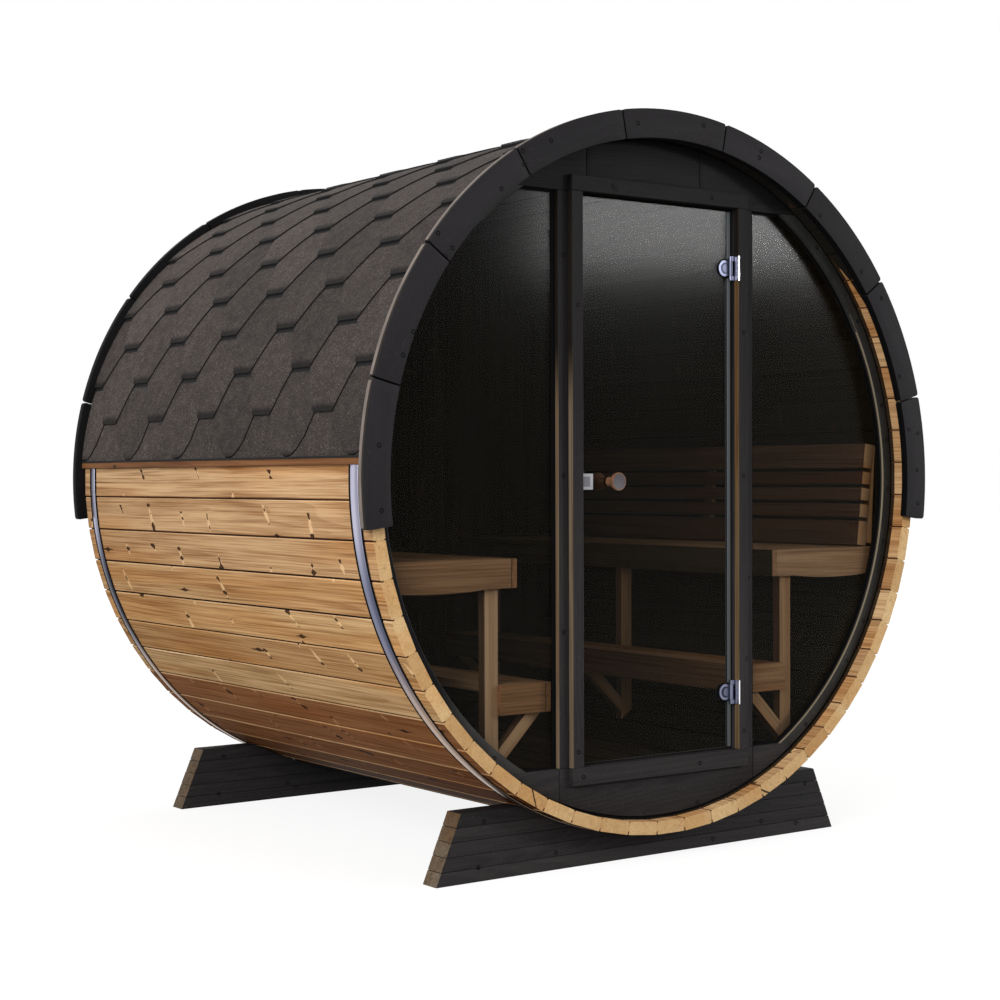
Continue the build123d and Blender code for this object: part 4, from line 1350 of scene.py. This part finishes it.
def bench_frames(side, name):
    piece = Piece(name + "_timbers", POST_PAINTED_LIGHT_WOOD, BENCH_SIDE_SHADE)
    rail_top, rail_low = BENCH_TOP - BENCH_SLAT, BENCH_TOP - BENCH_APRON
    step_top, step_low = STEP_TOP - BENCH_SLAT, STEP_TOP - STEP_APRON
    start = STEP_AISLE + BENCH_BOARD
    run = POST_INNER_X - start
    rail_start = BENCH_AISLE + BENCH_BOARD
    post_end = POST_INNER_X + POST_WIDTH
    post = [(POST_INNER_X, -room_reach(POST_INNER_X)), (post_end, -room_reach(post_end)),
            (post_end, rail_low), (POST_INNER_X, rail_low)]
    rail = [(rail_start, rail_low), (room_reach(rail_low) - 0.001, rail_low),
            (room_reach(rail_top) - 0.001, rail_top), (rail_start, rail_top)]
    brace = [(start, step_low), (start + BRACE_REACH, step_low),
             (POST_INNER_X, step_low - run + BRACE_REACH), (POST_INNER_X, step_low - run)]

    def timber(outline, y, direction):
        piece.add(*wall_prism(mirrored(side, outline), y, y + FRAME_DEPTH, 0.0015, direction),
                  slot=timber_slot)

    for y in FRAME_STARTS:
        timber(post, y, math.pi / 2)
        piece.add_box(side, (start, POST_INNER_X - 0.0003), (y, y + FRAME_DEPTH), (step_low, step_top), X,
                      slot=timber_slot)
        timber(rail, y, 0.0)
        timber(brace, y, -side * math.pi / 4)
    piece.finish("bench_wood", name, 30)


def backrest(side, name):
    piece = Piece(name + "_boards", BACKREST_SHADE_WOOD, BACKREST_END_LIGHT)
    total = sum(BACKREST_BOARDS) + BACKREST_GAP * (len(BACKREST_BOARDS) - 1)
    foot_z = BENCH_TOP + BACKREST_LIFT
    foot_x = room_reach(foot_z) - BACKREST_FOOT
    tilt = math.asin((room_reach(foot_z + total) - BACKREST_HEAD - foot_x) / total)
    c, s = math.cos(tilt), math.sin(tilt)
    y_low, y_high = low(name, Y), high(name, Y)

    def leaning(xs, zs, start, end, bevel, direction):
        outline = []
        for x, z in ((xs[0], zs[0]), (xs[1], zs[0]), (xs[1], zs[1]), (xs[0], zs[1])):
            height = foot_z - x * s + z * c
            outline.append((min(foot_x + x * c + z * s, room_reach(height) - 0.0008), height))
        # the ends take the bright wood, painted light, and the faces the dark wood, painted shade
        piece.add(*wall_prism(mirrored(side, outline), start, end, bevel, direction),
                  slot=lambda n: abs(n[Y]) > 0.5)

    height = 0.0
    for board in BACKREST_BOARDS:
        leaning((0, BACKREST_THICK), (height, height + board), y_low, y_high, 0.0025, None)
        height += board + BACKREST_GAP
    for y in (y_low, -STRUT_WIDTH / 2, y_high - STRUT_WIDTH):
        leaning((BACKREST_THICK, 2 * BACKREST_THICK), (BACKREST_GAP, total), y, y + STRUT_WIDTH, 0.0,
                math.pi / 2)
    piece.finish("bench_wood", name, 30)


def make_benches():
    for side, word in ((1, "right"), (-1, "left")):
        for part in (upper_bench, lower_bench, bench_frames, backrest):
            part(side, f"{word}_{part.__name__}")


# ---- studio and camera --------------------------------------------------------------------------
CAMERA_PLACE = (-3.6127, -5.0305, 1.1089)
CAMERA_YAW = 0.6277
CAMERA_PITCH = -0.0109
CAMERA_ROLL = -0.0027
CAMERA_LENS = 67.87
AMBIENT = 0.40
AMBIENT_COLOUR = (1.0, 0.99, 0.97)
WHITE = (1.0, 1.0, 1.0)
FLOOR_REACH = 40.0
FLOOR_COLOUR = (0.22, 0.22, 0.22)
FLOOR_GLOW = 0.86


def make_camera():
    data = bpy.data.cameras.new("camera")
    data.sensor_width = 36.0
    data.lens = CAMERA_LENS
    camera = bpy.data.objects.new("camera", data)
    bpy.context.scene.collection.objects.link(camera)
    camera.matrix_world = (Matrix.Translation(CAMERA_PLACE) @ Matrix.Rotation(-CAMERA_YAW, 4, "Z")
                           @ Matrix.Rotation(math.pi / 2 + CAMERA_PITCH, 4, "X")
                           @ Matrix.Rotation(CAMERA_ROLL, 4, "Z"))
    bpy.context.scene.camera = camera


def soft_light(name, place, target, size, power):
    data = bpy.data.lights.new(name, "AREA")
    data.shape = "RECTANGLE"
    data.size, data.size_y = size
    data.energy = power
    lamp = bpy.data.objects.new(name, data)
    lamp.location = place
    lamp.rotation_mode = "QUATERNION"
    lamp.rotation_quaternion = (Vector(target) - Vector(place)).to_track_quat("-Z", "Y")
    bpy.context.scene.collection.objects.link(lamp)


def make_studio():
    scene = bpy.context.scene
    scene.view_settings.view_transform = "Standard"
    world = bpy.data.worlds.new("studio")
    scene.world = world
    s = Shader(world, "OutputWorld")
    lit = s.node("Background", {"Color": AMBIENT_COLOUR, "Strength": AMBIENT})
    white = s.node("Background", {"Color": WHITE, "Strength": 1.0})
    s.end(s.node("MixShader", {0: s.seen(), 1: lit, 2: white}))

    mesh = bpy.data.meshes.new("floor")
    corners = [(x * FLOOR_REACH, y * FLOOR_REACH, -0.0005) for x, y in ((-1, -1), (1, -1), (1, 1), (-1, 1))]
    mesh.from_pydata(corners, [], [(0, 1, 2, 3)])
    floor = bpy.data.objects.new("floor", mesh)
    scene.collection.objects.link(floor)
    s = new_material("floor_pale")
    diffuse = s.node("BsdfDiffuse", {"Color": FLOOR_COLOUR})
    x, y, _ = s.node("NewGeometry", output="Position").parts()
    white = (x * x + y * y).root().ramp(3.0, 9.0, FLOOR_GLOW, 1.0)
    glow = s.node("Emission", {"Color": WHITE, "Strength": s.seen() * white})
    mesh.materials.append(s.end(s.node("AddShader", {0: diffuse, 1: glow})))

    soft_light("key", (-6.6, -4.0, 3.6), (0, 0, 1.1), (4.0, 4.0), 460.0)
    soft_light("sky_card", (6.1, -7.2, 3.2), (0, 0, 1.3), (2.6, 0.95), 285.0)
    soft_light("top", (0.5, 1.5, 7.0), (0, 0, 1.1), (5.0, 5.0), 120.0)


for make in (make_staves, make_roof, make_battens, make_fascia, make_bands, make_cradles, make_front_wall,
             make_screws, make_windows, make_door, make_knobs, make_rear_wall, make_floor, make_benches,
             make_studio, make_camera):
    make()
